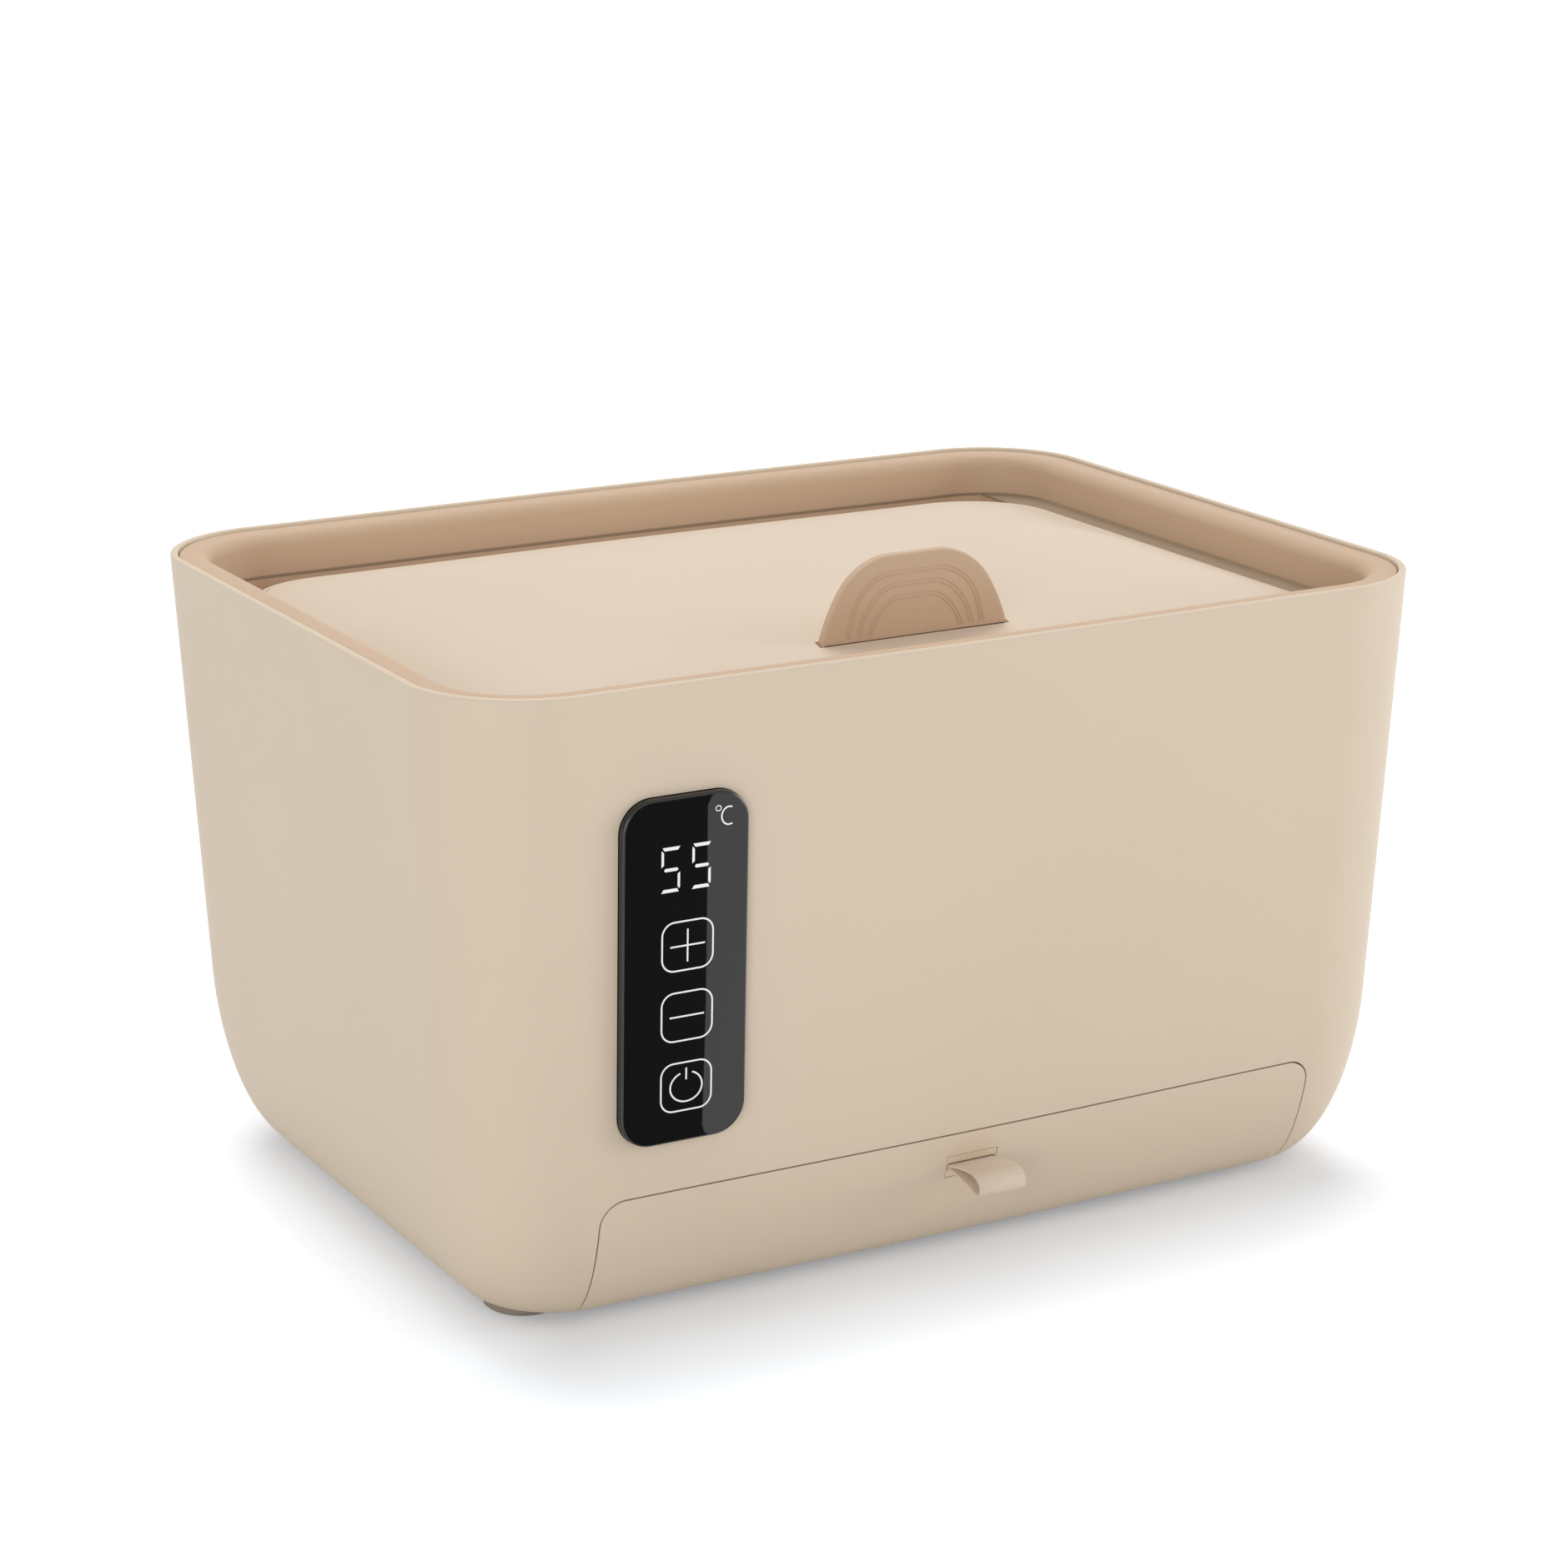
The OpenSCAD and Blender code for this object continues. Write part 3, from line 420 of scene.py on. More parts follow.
# Plain weave of a ribbon: threads along X cross those that run on in Y and Z
def makeWeave():
    tree, start, end = newGroup("ribbonWeave", {"Threads": 3600.0}, ["Height", "Hollow Shade"])
    axes = objectAxes(tree)
    across = mathNode(tree, "MULTIPLY", axes["X"], start["Threads"])
    depth = mathNode(tree, "SUBTRACT", axes["Y"], axes["Z"])
    along = mathNode(tree, "MULTIPLY", depth, start["Threads"])
    waves = mathNode(tree, "MULTIPLY", mathNode(tree, "SINE", across), mathNode(tree, "SINE", along))
    # Hollow Shade is 1 at the weave's lowest points between threads, where the cloth gets painted shade
    feed(tree, end, {"Height": spread(tree, waves, -1.0, 1.0),
                     "Hollow Shade": spread(tree, waves, -1.0, -0.4, 1.0, 0.0)})
    return tree


mouldGrain = makeMouldGrain()
brushedLines = makeBrushedLines()
ribbonWeave = makeWeave()


def newMaterial(name):
    material = bpy.data.materials.new(name)
    material.use_nodes = True
    tree = material.node_tree
    return material, tree, tree.nodes["Principled BSDF"]


def placeGroup(tree, group, values):
    node = tree.nodes.new("ShaderNodeGroup")
    node.node_tree = group
    feed(tree, node, values)
    return node.outputs


def mixTints(tree, mask, first, second):
    node = tree.nodes.new("ShaderNodeMix")
    node.data_type = "RGBA"
    feed(tree, node, {"Factor": mask, "A": first, "B": second})
    return node.outputs["Result"]


def bump(tree, height, depth, distance=0.0002):
    node = addNode(tree, "Bump", {"Strength": depth, "Distance": distance, "Height": height})
    return node.outputs["Normal"]


# Moulded plastic or rubber with a fine mould texture
def moulded(name, first, second, roughness, grain, depth, level=0.45, coat=0.0):
    material, tree, shader = newMaterial(name)
    group = placeGroup(tree, mouldGrain, {"Grain Scale": grain, "Roughness": roughness})
    feed(tree, shader, {
        "Base Color": mixTints(tree, group["Drift"], tint(*first), tint(*second)),
        "Roughness": group["Roughness"], "Normal": bump(tree, group["Height"], depth),
        "Specular IOR Level": level, "Coat Weight": coat})
    return material


def metal(name, first, second, roughness, scale=900.0):
    material, tree, shader = newMaterial(name)
    group = placeGroup(tree, brushedLines, {"Scale": scale, "Roughness": roughness})
    feed(tree, shader, {
        "Base Color": mixTints(tree, group["Tone"], tint(*first), tint(*second)),
        "Roughness": group["Roughness"], "Normal": bump(tree, group["Height"], 0.15), "Metallic": 1.0})
    return material


# Paints light and shade into a material's colour: takes it to another tone between two heights in metres, a
# darker tone for painted shade and a lighter one for painted light
def paintLightingBelow(material, top, bottom, tone):
    tree = material.node_tree
    base = tree.nodes["Principled BSDF"].inputs["Base Color"]
    mask = spread(tree, objectAxes(tree)["Z"], top, bottom)
    tree.links.new(mixTints(tree, mask, base.links[0].from_socket, tone), base)


shellPlastic = moulded("shell satin plastic", (228, 210, 187), (225, 207, 184), 0.55, 2200, 0.06, level=0.35)
lidPlastic = moulded("lid satin plastic", (230, 212, 191), (227, 209, 188), 0.6, 2200, 0.06, level=0.3)
linerPlastic = moulded("liner satin plastic", (213, 184, 155), (209, 180, 151), 0.58, 2200, 0.06, level=0.3)
# Painted shade: the ledge round the lid gets a dark tone that stands in for the shadow of the wall above it
paintLightingBelow(linerPlastic, 0.1228, 0.1224, tint(157, 135, 110))  # the ledge round the lid
# Painted light: lower down, behind the lid, the liner comes back a little lighter than its own tan, lifting
# the shade in the channel there
paintLightingBelow(linerPlastic, 0.1221, 0.1217, tint(218, 189, 160))  # the wall goes on below it behind the lid
tabSilicone = moulded("tab silicone", (211, 182, 153), (207, 178, 149), 0.6, 2600, 0.08)
sealSilicone = moulded("seal silicone", (214, 198, 180), (208, 192, 174), 0.62, 1500, 0.1)
tubPlastic = moulded("tub pale plastic", (238, 230, 219), (233, 225, 214), 0.4, 1400, 0.08)
innerPlastic = moulded("inner pale plastic", (233, 227, 217), (228, 222, 212), 0.45, 1400, 0.08)
# Painted shade: the feet are beige rubber, given a dark grey tone here that stands in for the contact shadow
# under the body
footRubberShadeDark = moulded("foot rubber with painted contact shade", (158, 146, 132), (150, 138, 124), 0.75, 1200, 0.2)
darkPlastic = moulded("dark plastic", (34, 34, 35), (28, 28, 29), 0.5, 1500, 0.15)
boardGreen = moulded("board green", (34, 96, 62), (28, 84, 54), 0.35, 500, 0.05)
milkyPlastic = moulded("milky plastic", (240, 240, 238), (234, 234, 231), 0.35, 900, 0.05)
amberFilm = moulded("amber film", (214, 128, 40), (198, 112, 30), 0.25, 300, 0.05, coat=0.3)
paleFelt = moulded("pale felt", (222, 220, 214), (204, 202, 196), 0.9, 700, 0.6)
sheath = moulded("cable sheath", (226, 226, 224), (216, 216, 214), 0.45, 1200, 0.08)
darkFoam = moulded("dark foam", (40, 40, 41), (32, 32, 33), 0.9, 900, 0.5)
glazed = moulded("glazed body", (236, 232, 222), (226, 221, 210), 0.25, 500, 0.04, coat=0.2)
zincSteel = metal("zinc steel", (206, 208, 212), (184, 186, 191), 0.32)
sheetMetal = metal("aluminium sheet", (222, 223, 225), (202, 203, 206), 0.38, 500)


def makePanelBlack():
    material, tree, shader = newMaterial("panel black glass")
    group = placeGroup(tree, mouldGrain, {"Grain Scale": 60.0, "Drift Scale": 30.0, "Roughness": 0.03,
                                          "Roughness Spread": 0.012})
    feed(tree, shader, {"Base Color": mixTints(tree, group["Drift"], tint(20, 21, 20), tint(18, 19, 18)),
                        "Roughness": group["Roughness"], "IOR": 1.5})
    return material


def makePrintWhite():
    material, tree, shader = newMaterial("panel white print")
    group = placeGroup(tree, mouldGrain, {"Grain Scale": 900.0, "Roughness": 0.4, "Roughness Spread": 0.05})
    glow = mixTints(tree, group["Drift"], tint(236, 236, 234), tint(228, 228, 226))
    feed(tree, shader, {"Base Color": glow, "Emission Color": glow, "Emission Strength": 0.25,
                        "Roughness": group["Roughness"]})
    return material


def makeRibbonCloth():
    material, tree, shader = newMaterial("ribbon cloth")
    weave = placeGroup(tree, ribbonWeave, {"Threads": 9000.0})
    # Painted shade: the cloth takes a darker tone in the weave's hollows
    feed(tree, shader, {"Base Color": mixTints(tree, weave["Hollow Shade"], tint(229, 211, 190), tint(212, 193, 171)),
                        "Normal": bump(tree, weave["Height"], 0.3, 0.0001),
                        "Roughness": 0.8, "Sheen Weight": 0.2, "Sheen Roughness": 0.5})
    return material


panelBlack = makePanelBlack()
printWhite = makePrintWhite()
ribbonCloth = makeRibbonCloth()
print("materials made")


def finishPiece(piece, body, material, slot, *nodes):
    if not piece.data.has_custom_normals:
        weld(piece, outward=True, gap=0.0005)
    piece.data.materials.clear()
    piece.data.materials.append(material)
    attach(piece, body)
    if nodes:
        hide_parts(*nodes)


# Shell and drawer front

drawer = {
    "halfWidth": housing["width"] / 2 - 29.2, "top": housing["foot"] + 27.5, "radius": 5.2,
    "seam": 0.35, "frontLip": halfDepth(housing["foot"]) - 1.6,
    "bossRadius": 3.4, "bossX": 48.0, "bossLevel": 16,
}
panel = {
    "x": -(housing["width"] / 2 - 45.4), "z": rimLevel - 56.5, "width": 26.6, "height": 69.8, "radius": 6.5,
    "proud": 1.7, "pocket": 0.8, "play": 0.15, "edge": 0.55, "lean": housing["frontDraft"],
}
panelX, panelZ = panel["x"], panel["z"]
panelYaw = math.degrees(math.atan((bowAt(panelX + 1, panelZ) - bowAt(panelX - 1, panelZ)) / 2))
onPanel = (shift(panelX, middleY - halfDepth(panelZ) - bowAt(panelX, panelZ), panelZ)
           @ turn(-panelYaw, "Z") @ turn(90 + panel["lean"], "X"))
inlet = {"x": 62.0, "z": housing["foot"] + 35.0, "radius": 7.0, "socket": 4.1, "depth": 3.2, "bossWall": 2}
inletFloor = middleY + halfDepth(inlet["z"]) - inlet["depth"]
toBack = shift(inlet["x"], 0, inlet["z"]) @ turn(-90, "X")
vents = {"count": 9, "start": -60.0, "step": 9.0, "length": 5.0, "width": 2.0, "radius": 0.99, "inside": 2.6}


def drawerOutline(grow):
    a, top, r = drawer["halfWidth"] + grow, drawer["top"] + grow, drawer["radius"] + grow
    right = [(a - r + r * cosOf(9 * k), top - r + r * sinOf(9 * k)) for k in range(11)]
    left = [(-a + r - r * sinOf(9 * k), top - r + r * cosOf(9 * k)) for k in range(11)]
    return [(a, -5.0)] + right + left + [(-a, -5.0)]


def drawerPrism(name, grow, back):
    return prism(name, drawerOutline(grow), 0, 60, shift(0, middleY - back, 0) @ turn(90, "X"))


def roundLevels(inset, steps=30):
    return [roundTop - (housing["roundHeight"] - inset) * cosOf(90 * k / steps) for k in range(steps + 1)]


def shellRings():
    edge, lip, rimWidth, wall = housing["rimEdge"], housing["lipEdge"], housing["rimWidth"], housing["wall"]
    rings = [bodyRing(z) for z in roundLevels(0)]
    rings += [bodyRing(roundTop + (rimLevel - edge - roundTop) * k / 14) for k in range(1, 14)]
    rings += [bodyRing(rimLevel - edge * s, edge * c) for c, s in rounding(15)]
    rings += [bodyRing(rimLevel - lip * c, rimWidth - lip * s) for c, s in rounding(22.5)]
    rings += [bodyRing(rimLevel - housing["seat"], inset) for inset in (rimWidth, wall)]
    rings += [bodyRing(z, wall) for z in reversed(roundLevels(wall, 18))]
    return rings


def frontOnly(p):
    return p.z < rimLevel - housing["rimEdge"]


shellBody = skin("housingShell", shellRings())
ventCutters = [prism("vent%d" % k, roundedOutline(vents["length"], vents["width"], vents["radius"]),
                     housing["foot"] - 1, housing["foot"] + 4,
                     shift(vents["start"] + vents["step"] * k,
                           middleY + drawer["frontLip"] - vents["inside"], 0))
               for k in range(vents["count"])]
pocketOutline = roundedOutline(panel["width"] + 2 * panel["play"], panel["height"] + 2 * panel["play"],
                               panel["radius"] + panel["play"])
carve(shellBody, [
    drawerPrism("drawerNotch", drawer["seam"] / 2, drawer["frontLip"] - 0.4),
    prism("glassPocket", pocketOutline, -panel["pocket"], 10, onPanel),
    prism("inletRecess", circleOutline(inlet["radius"]), inletFloor, inletFloor + 10, toBack),
    prism("inletHole", circleOutline(inlet["socket"], 32), inletFloor - 5, inletFloor + 1, toBack),
] + ventCutters)
keepNormals(shellBody, bodyNormal, frontOnly)
finishPiece(shellBody, "housing", shellPlastic, "shell_plastic", "outer_shell")
print("shell made:", len(shellBody.data.polygons), "faces")

# Boss that the inlet sits in, seen through the recess
inletBoss = prism("inletBoss", circleOutline(inlet["radius"] + inlet["bossWall"]), inletFloor - 2,
                  inletFloor - 0.01, toBack)
carve(inletBoss, [prism("bossHole", circleOutline(inlet["socket"], 32), inletFloor - 5, inletFloor + 5,
                        toBack)])
finishPiece(inletBoss, "housing", shellPlastic, "shell_plastic")

pull = {"z": housing["foot"] + 20.0, "width": 10.8, "insertWidth": 11.6, "insertHeight": 4.9, "play": 0.15}
pullY = middleY - halfDepth(pull["z"]) - housing["bow"]
pullSlope = math.atan((halfDepth(pull["z"] + 2) - halfDepth(pull["z"] - 2)) / 4)
atPull = shift(0, pullY, pull["z"]) @ Matrix.Rotation(pullSlope, 4, "X")


def frontRings(inset, above):
    return [bodyRing(z, inset) for z in roundLevels(inset)] + [bodyRing(roundTop + above, inset)]


drawerFace = skin("drawerFace", frontRings(0, 10))
carve(drawerFace, [skin("faceHollow", frontRings(housing["wall"], 11))])
carve(drawerFace, [drawerPrism("faceOutline", -drawer["seam"] / 2, drawer["frontLip"])], "INTERSECT")
carve(drawerFace, [block("insertHole", around(0, pull["insertWidth"] / 2 + pull["play"]), (-3, 8),
                         around(0, pull["insertHeight"] / 2 + pull["play"]), atPull)])
keepNormals(drawerFace, bodyNormal, frontOnly)
bossLevel = housing["foot"] + drawer["bossLevel"]
for k in (-1, 1):
    faceBoss = prism("faceBoss%d" % k, circleOutline(drawer["bossRadius"], 32, drawer["bossX"] * k),
                     -(middleY - halfDepth(bossLevel, housing["wall"]) - 0.2),
                     -(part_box("drawer_tray")[0].y * 1000), shift(0, 0, bossLevel) @ turn(90, "X"))
    finishPiece(faceBoss, "drawer", shellPlastic, "shell_plastic")
finishPiece(drawerFace, "drawer", shellPlastic, "shell_plastic", "drawer_front")
print("drawer front made:", len(drawerFace.data.polygons), "faces")

# Ribbon loop and its insert

loop = {
    "section": [(1.2, 0.0), (-0.6, 0.35), (-2.6, 0.85), (-5.0, 1.3), (-7.4, 1.55), (-9.4, 1.5), (-10.9, 0.9),
                (-11.85, -0.2), (-12.0, -1.3), (-11.5, -2.1), (-10.4, -2.35), (-8.6, -1.9), (-6.6, -1.35),
                (-4.4, -0.9), (-2.2, -0.6), (-0.6, -0.45), (1.2, -0.4)],
    "width": 10.8, "thick": 0.62, "edge": 0.2,
}


# Catmull-Rom curve through the points
def smoothPath(points, steps=5):
    made = []
    for i in range(len(points) - 1):
        p0 = points[max(i - 1, 0)]
        p1, p2 = points[i], points[i + 1]
        p3 = points[min(i + 2, len(points) - 1)]
        for k in range(steps):
            t = k / steps
            made.append(tuple(0.5 * (2 * b + (c - a) * t + (2 * a - 5 * b + 4 * c - d) * t * t
                                     + (3 * b - a - 3 * c + d) * t ** 3)
                              for a, b, c, d in zip(p0, p1, p2, p3)))
    made.append(points[-1])
    return made


def makeLoop():
    path = smoothPath(loop["section"])
    half, t, e = loop["width"] / 2, loop["thick"] / 2, loop["edge"]
    corner = [(half - e, t), (half - e * 0.3, t - e * 0.3), (half, t - e)]
    profile = [(-x, -d) for x, d in reversed(corner)] + [(x, -d) for x, d in corner]
    profile += [(-x, -d) for x, d in profile]
    rings = []
    for i, (y, z) in enumerate(path):
        before, after = beside(path, i)
        dy, dz = after[0] - before[0], after[1] - before[1]
        size = math.hypot(dy, dz)
        ny, nz = -dz / size, dy / size
        rings.append([(x, pullY + y + ny * d, pull["z"] + z + nz * d) for x, d in profile])
    return skin("ribbonLoop", rings, sharp=60)


finishPiece(makeLoop(), "drawer", ribbonCloth, "ribbon_fabric", "pull_ribbon")
loopInsert = block("loopInsert", around(0, pull["insertWidth"] / 2), (0.1, 4.0),
                   around(0, pull["insertHeight"] / 2), atPull)
carve(loopInsert, [block("ribbonSlot", around(0, pull["width"] / 2 + pull["play"]), around(0, 20),
                         around(pull["z"], 0.85), shift(0, pullY, 0))])
finishPiece(loopInsert, "drawer", shellPlastic, "shell_plastic", "pull_insert")
print("loop made")

# Liner

lid = {
    "margin": 14.6, "corner": 20.0, "gap": 0.4, "rim": 1.2, "crown": 8.3, "power": 2.9, "backEase": 3.0,
    "ledgeDrop": 9.7, "shelf": 4.0, "shelfDepth": 4.2, "frameThick": 1.6, "frameEdge": 0.35,
    "coverRound": 0.8, "coverGap": 0.25, "coverWall": 2.0, "ledgeWall": 3.9, "rest": 0.4, "frameOver": 0.2,
    "coverOver": 0.3, "seam": 0.2,
}
lidA = housing["width"] / 2 - lid["margin"]
lidB = housing["depth"] / 2 - lid["margin"]
ledgeZ = rimLevel - lid["ledgeDrop"]
shelfZ = ledgeZ - lid["ledgeWall"]
lidZ = shelfZ + lid["rest"]
frameTop = ledgeZ + lid["frameOver"]
coverZ = lidZ + lid["frameThick"]
hinge = {
    "y": lidB - 2.2, "z": lidZ + 0.8, "x": 70.0, "ear": 6.0, "earFront": 1.6, "earBack": 1.0,
    "lug": 1.7, "lugMiddle": 5.1, "play": 0.3, "gapHalf": 3.4, "notchHalf": 7.4,
}
hingeY = middleY + hinge["y"]
onHinge = shift(0, hingeY, hinge["z"]) @ turn(90, "Y")
liner = {
    "drop": 0.65, "reach": 8.3, "round": 2.9, "groove": 0.32, "lipRound": 0.2, "footRound": 0.4, "wall": 2.2,
}


def lidRing(grow, z):
    return ring(lidA + grow, lidB + grow, lid["corner"] + grow, z)


def mouthRing(grow, z):
    return lidRing(grow - lid["shelf"], z)


def makeLiner():
    lip, start, reach = rimLevel - liner["drop"], housing["rimWidth"] + liner["groove"], liner["reach"]
    seat, shelfLow = rimLevel - housing["seat"], shelfZ - lid["shelfDepth"]
    small, large, foot = liner["lipRound"], liner["round"], liner["footRound"]
    rings = [bodyRing(lip - 1.5, start)]
    rings += [bodyRing(lip - small * s - 0.02, start + small * c) for c, s in rounding(22.5, 1)]
    rings += [bodyRing(lip + 0.02 * k, start + 0.35 + 0.8 * k) for k in range(1, 4)]
    rings += [bodyRing(lip + 0.1 - large * c, reach - large * s) for c, s in rounding(7.5)]
    rings += [bodyRing(ledgeZ + 0.5, reach)]
    rings += [bodyRing(ledgeZ + foot * s, reach + foot * c) for c, s in rounding(30, 1)]
    rings += [lidRing(lid["gap"] + 0.25, ledgeZ), lidRing(lid["gap"] + 0.07, ledgeZ - 0.07),
              lidRing(lid["gap"], ledgeZ - 0.25), lidRing(lid["gap"], shelfZ),
              mouthRing(0.3, shelfZ), mouthRing(0, shelfZ - 0.3), mouthRing(0, shelfLow),
              bodyRing(shelfLow, reach - liner["wall"]), bodyRing(seat - 1.6, reach - liner["wall"]),
              bodyRing(seat, reach - 3.4), bodyRing(seat, housing["rimWidth"] + 0.15)]
    piece = skin("rimLiner", rings, looped=True)
    troughR = math.hypot(lidB + housing["bow"] - hinge["y"], frameTop - hinge["z"]) + hinge["play"]
    trough = prism("trough", circleOutline(troughR, 64), -(lidA - 5), lidA - 5, onHinge)
    behind = skin("behindLid", [bodyRing(z, reach + 0.1) for z in (shelfZ, ledgeZ + 2)])
    carve(behind, [block("behindBox", around(0, lidA - 3), around(middleY + lidB, lid["corner"]),
                         (shelfZ - 1, shelfZ + 9))], "INTERSECT")
    carve(piece, [trough, behind])
    front, back, low = hinge["earFront"], hinge["earBack"], shelfZ - 3 - hinge["z"]
    ear = [(-front, low), (-front, 0.0)]
    ear += [(front * cosOf(180 - 15 * k), front * sinOf(180 - 15 * k)) for k in range(1, 16)]
    ear += [(back, -1.25), (back, low)]
    ears = []
    for x in (-1, 1):
        place = Matrix(((0, 0, 1, x * hinge["x"]), (1, 0, 0, hingeY), (0, 1, 0, hinge["z"]), (0, 0, 0, 1)))
        ears.append(prism("ear", ear, -hinge["ear"] / 2, hinge["ear"] / 2, place))
    return joinPieces("rimLiner", [piece] + ears)


rimLiner = makeLiner()
finishPiece(rimLiner, "housing", linerPlastic, "liner_plastic", "rim_liner")
print("liner made:", len(rimLiner.data.polygons), "faces")

# Tub

tub = {
    "wall": 1.8, "draft": 2.2, "floor": housing["foot"] + 45.0, "fillet": 6.0, "gap": 0.4, "flange": 1.8,
    "rib": [(-1.0, -0.3), (1.0, -0.3), (1.0, 0.8), (0.8, 1.1), (0.4, 1.2), (-0.4, 1.2), (-0.8, 1.1),
            (-1.0, 0.8)],
    "ribInset": 8.5,
}
tubA, tubB, tubR = [size - lid["shelf"] - tub["gap"] for size in (lidA, lidB, lid["corner"])]
flangeTop = shelfZ - lid["shelfDepth"]


def tubRing(inward, z):
    d = inward + (flangeTop - z) * tanOf(tub["draft"])
    return ring(tubA - d, tubB - d, max(tubR - d, 2), z)


def makeTub():
    bottom, fillet, wall = tub["floor"] - tub["wall"], tub["fillet"], tub["wall"]
    inner, low = fillet - wall, flangeTop - tub["flange"]
    rings = [tubRing(fillet * s, bottom + fillet * c) for c, s in rounding(10)]
    rings += [tubRing(0, low), lidRing(3, low), lidRing(3, flangeTop - 0.02),
              tubRing(wall - 0.4, flangeTop - 0.02), tubRing(wall, flangeTop - 0.4)]
    rings += [tubRing(wall + inner * s, tub["floor"] + inner * c) for c, s in reversed(rounding(10))]
    lean = (flangeTop - bottom) * tanOf(tub["draft"])
    halfX, halfY = [size - lean - fillet - tub["ribInset"] for size in (tubA, tubB)]
    pieces = [skin("wipesTub", rings)]
    for k in range(-3, 4):
        place = Matrix(((1, 0, 0, k * halfX / 4), (0, 0, -1, middleY), (0, 1, 0, tub["floor"]), (0, 0, 0, 1)))
        pieces.append(prism("rib", tub["rib"], -halfY + 4, halfY - 4, place))
    return joinPieces("wipesTub", pieces)


finishPiece(makeTub(), "housing", tubPlastic, "tub_plastic", "wipe_tub")
print("tub made")

# Lid

coverIn = lid["rim"] + lid["seam"]
coverA, coverB, coverR = lidA - coverIn, lidB - coverIn, lid["corner"] - coverIn
coverEdge = frameTop + lid["coverOver"]
tab = {
    "y": -(lidB - 15.3), "thick": 2.2, "slot": 0.27, "slotHalf": 21.9, "edge": 0.5, "rootHalf": 21.4,
    "footHalf": 23.4, "footEdge": 1.4,
    "half": [(21.4, -1.0), (21.35, 0.0), (21.1, 1.2), (20.6, 2.8), (19.9, 4.6), (19.2, 6.2), (18.3, 8.0),
             (17.1, 10.1), (15.7, 12.0), (13.9, 13.7), (12.0, 15.0), (10.0, 15.95), (8.3, 16.5), (6.6, 16.77),
             (5.0, 16.8)],
}
tabY = middleY + tab["y"]


def crownRise(f):
    return lid["crown"] * (1 - (1 - f) ** lid["power"])


# Half sizes, corner radius and bow of the cover's outline at a share f of the way to its middle
def crownSides(f):
    s = 0.985 * coverB * f
    return coverA - s, coverB - s, coverR * (1 - 0.97 * f), housing["bow"] * (1 - f)


def crownRing(f, z):
    a, b, r, bow = crownSides(f)
    return ring(a, b, r, z, bow)


# The crown rises more gently from its back edge
def backDrop(f, y):
    t = min(1.0, max(0.0, y / (0.4 * coverB)))
    return lid["backEase"] * t * t * (3 - 2 * t) * (1 - (1 - f) ** 4) * (1 - f)


def crownRow(f):
    return [(x, y, z - backDrop(f, y - middleY)) for x, y, z in crownRing(f, coverEdge + crownRise(f))]


def crownHeight(x, y):
    low, high = 0.0, 1.0
    for _ in range(24):
        f = (low + high) / 2
        if outsideBy(x, y, *crownSides(f)) < 0:
            low = f
        else:
            high = f
    return coverEdge + crownRise(low) - backDrop(low, y - middleY)


def crownNormal(p):
    step = 0.4
    dx = (crownHeight(p.x + step, p.y) - crownHeight(p.x - step, p.y)) / (2 * step)
    dy = (crownHeight(p.x, p.y + step) - crownHeight(p.x, p.y - step)) / (2 * step)
    return Vector((-dx, -dy, 1)).normalized()


tabZ = coverEdge + crownRise((coverB + tab["y"]) / coverB)


def coverRing(inset, z):
    return ring(coverA - inset, coverB - inset, coverR - inset, z)


def makeCover():
    edge, fall = lid["coverRound"], lid["coverGap"]
    rings = [coverRing(fall, coverZ)]
    rings += [coverRing(fall + edge * (1 - cosOf(14 * k)), coverEdge - edge * (0.75 - 0.9 * sinOf(14 * k)))
              for k in range(6)]
    rings += [crownRow((k / 46) ** 1.4) for k in range(3, 47)]
    under = coverEdge - lid["coverWall"] - lid["backEase"] / 2
    inner = [crownRing(0.025 + 0.95 * f, under + crownRise(f)) for f in [(k / 14) ** 1.4 for k in range(14)]]
    top = skin("lidCover", rings)
    hollow = skin("coverHollow", [coverRing(2, coverZ - 1)] + inner)
    slot = block("tabSlot", around(0, tab["slotHalf"]), around(tabY, tab["thick"] / 2 + tab["slot"]),
                 (coverZ - 1, coverZ + 20))
    notches = [block("hingeNotch", around(x * hinge["x"], hinge["notchHalf"]), around(hingeY, 3),
                     (coverZ - 1, hinge["z"] + 2.0)) for x in (-1, 1)]
    carve(top, [hollow, slot] + notches, sharp=40)
    keepNormals(top, crownNormal, lambda p: abs(p.x) < 30 and abs(p.y - tabY) < 9, 0.9)
    return top


lidCover = makeCover()
finishPiece(lidCover, "lid", lidPlastic, "lid_plastic", "lid_cover")
print("lid cover made:", len(lidCover.data.polygons), "faces")


def makeLidFrame():
    rim, edge, lug = -lid["rim"], -lid["frameEdge"], hinge["lug"]
    rings = [lidRing(-0.3, lidZ), lidRing(-0.09, lidZ + 0.09), lidRing(0, lidZ + 0.3)]
    rings += [lidRing(edge * c, frameTop + edge * s) for c, s in rounding(18)]
    rings += [lidRing(-0.85, frameTop), lidRing(-1.05, frameTop - 0.06), lidRing(rim, frameTop - 0.25),
              lidRing(rim, coverZ)]
    piece = skin("lidFrame", rings)
    carve(piece, [block("earGap", around(x * hinge["x"], hinge["gapHalf"]), (hingeY - 2.2, hingeY + 6),
                        (lidZ - 1, hinge["z"] + 1.9)) for x in (-1, 1)])
    middles = [x * hinge["x"] + s * hinge["lugMiddle"] for x in (-1, 1) for s in (-1, 1)]
    lugs = [prism("lug", circleOutline(lug, 32), *around(middle, lug), onHinge) for middle in middles]
    return joinPieces("lidFrame", [piece] + lugs)


finishPiece(makeLidFrame(), "lid", lidPlastic, "lid_plastic", "lid_frame")
print("lid frame made")


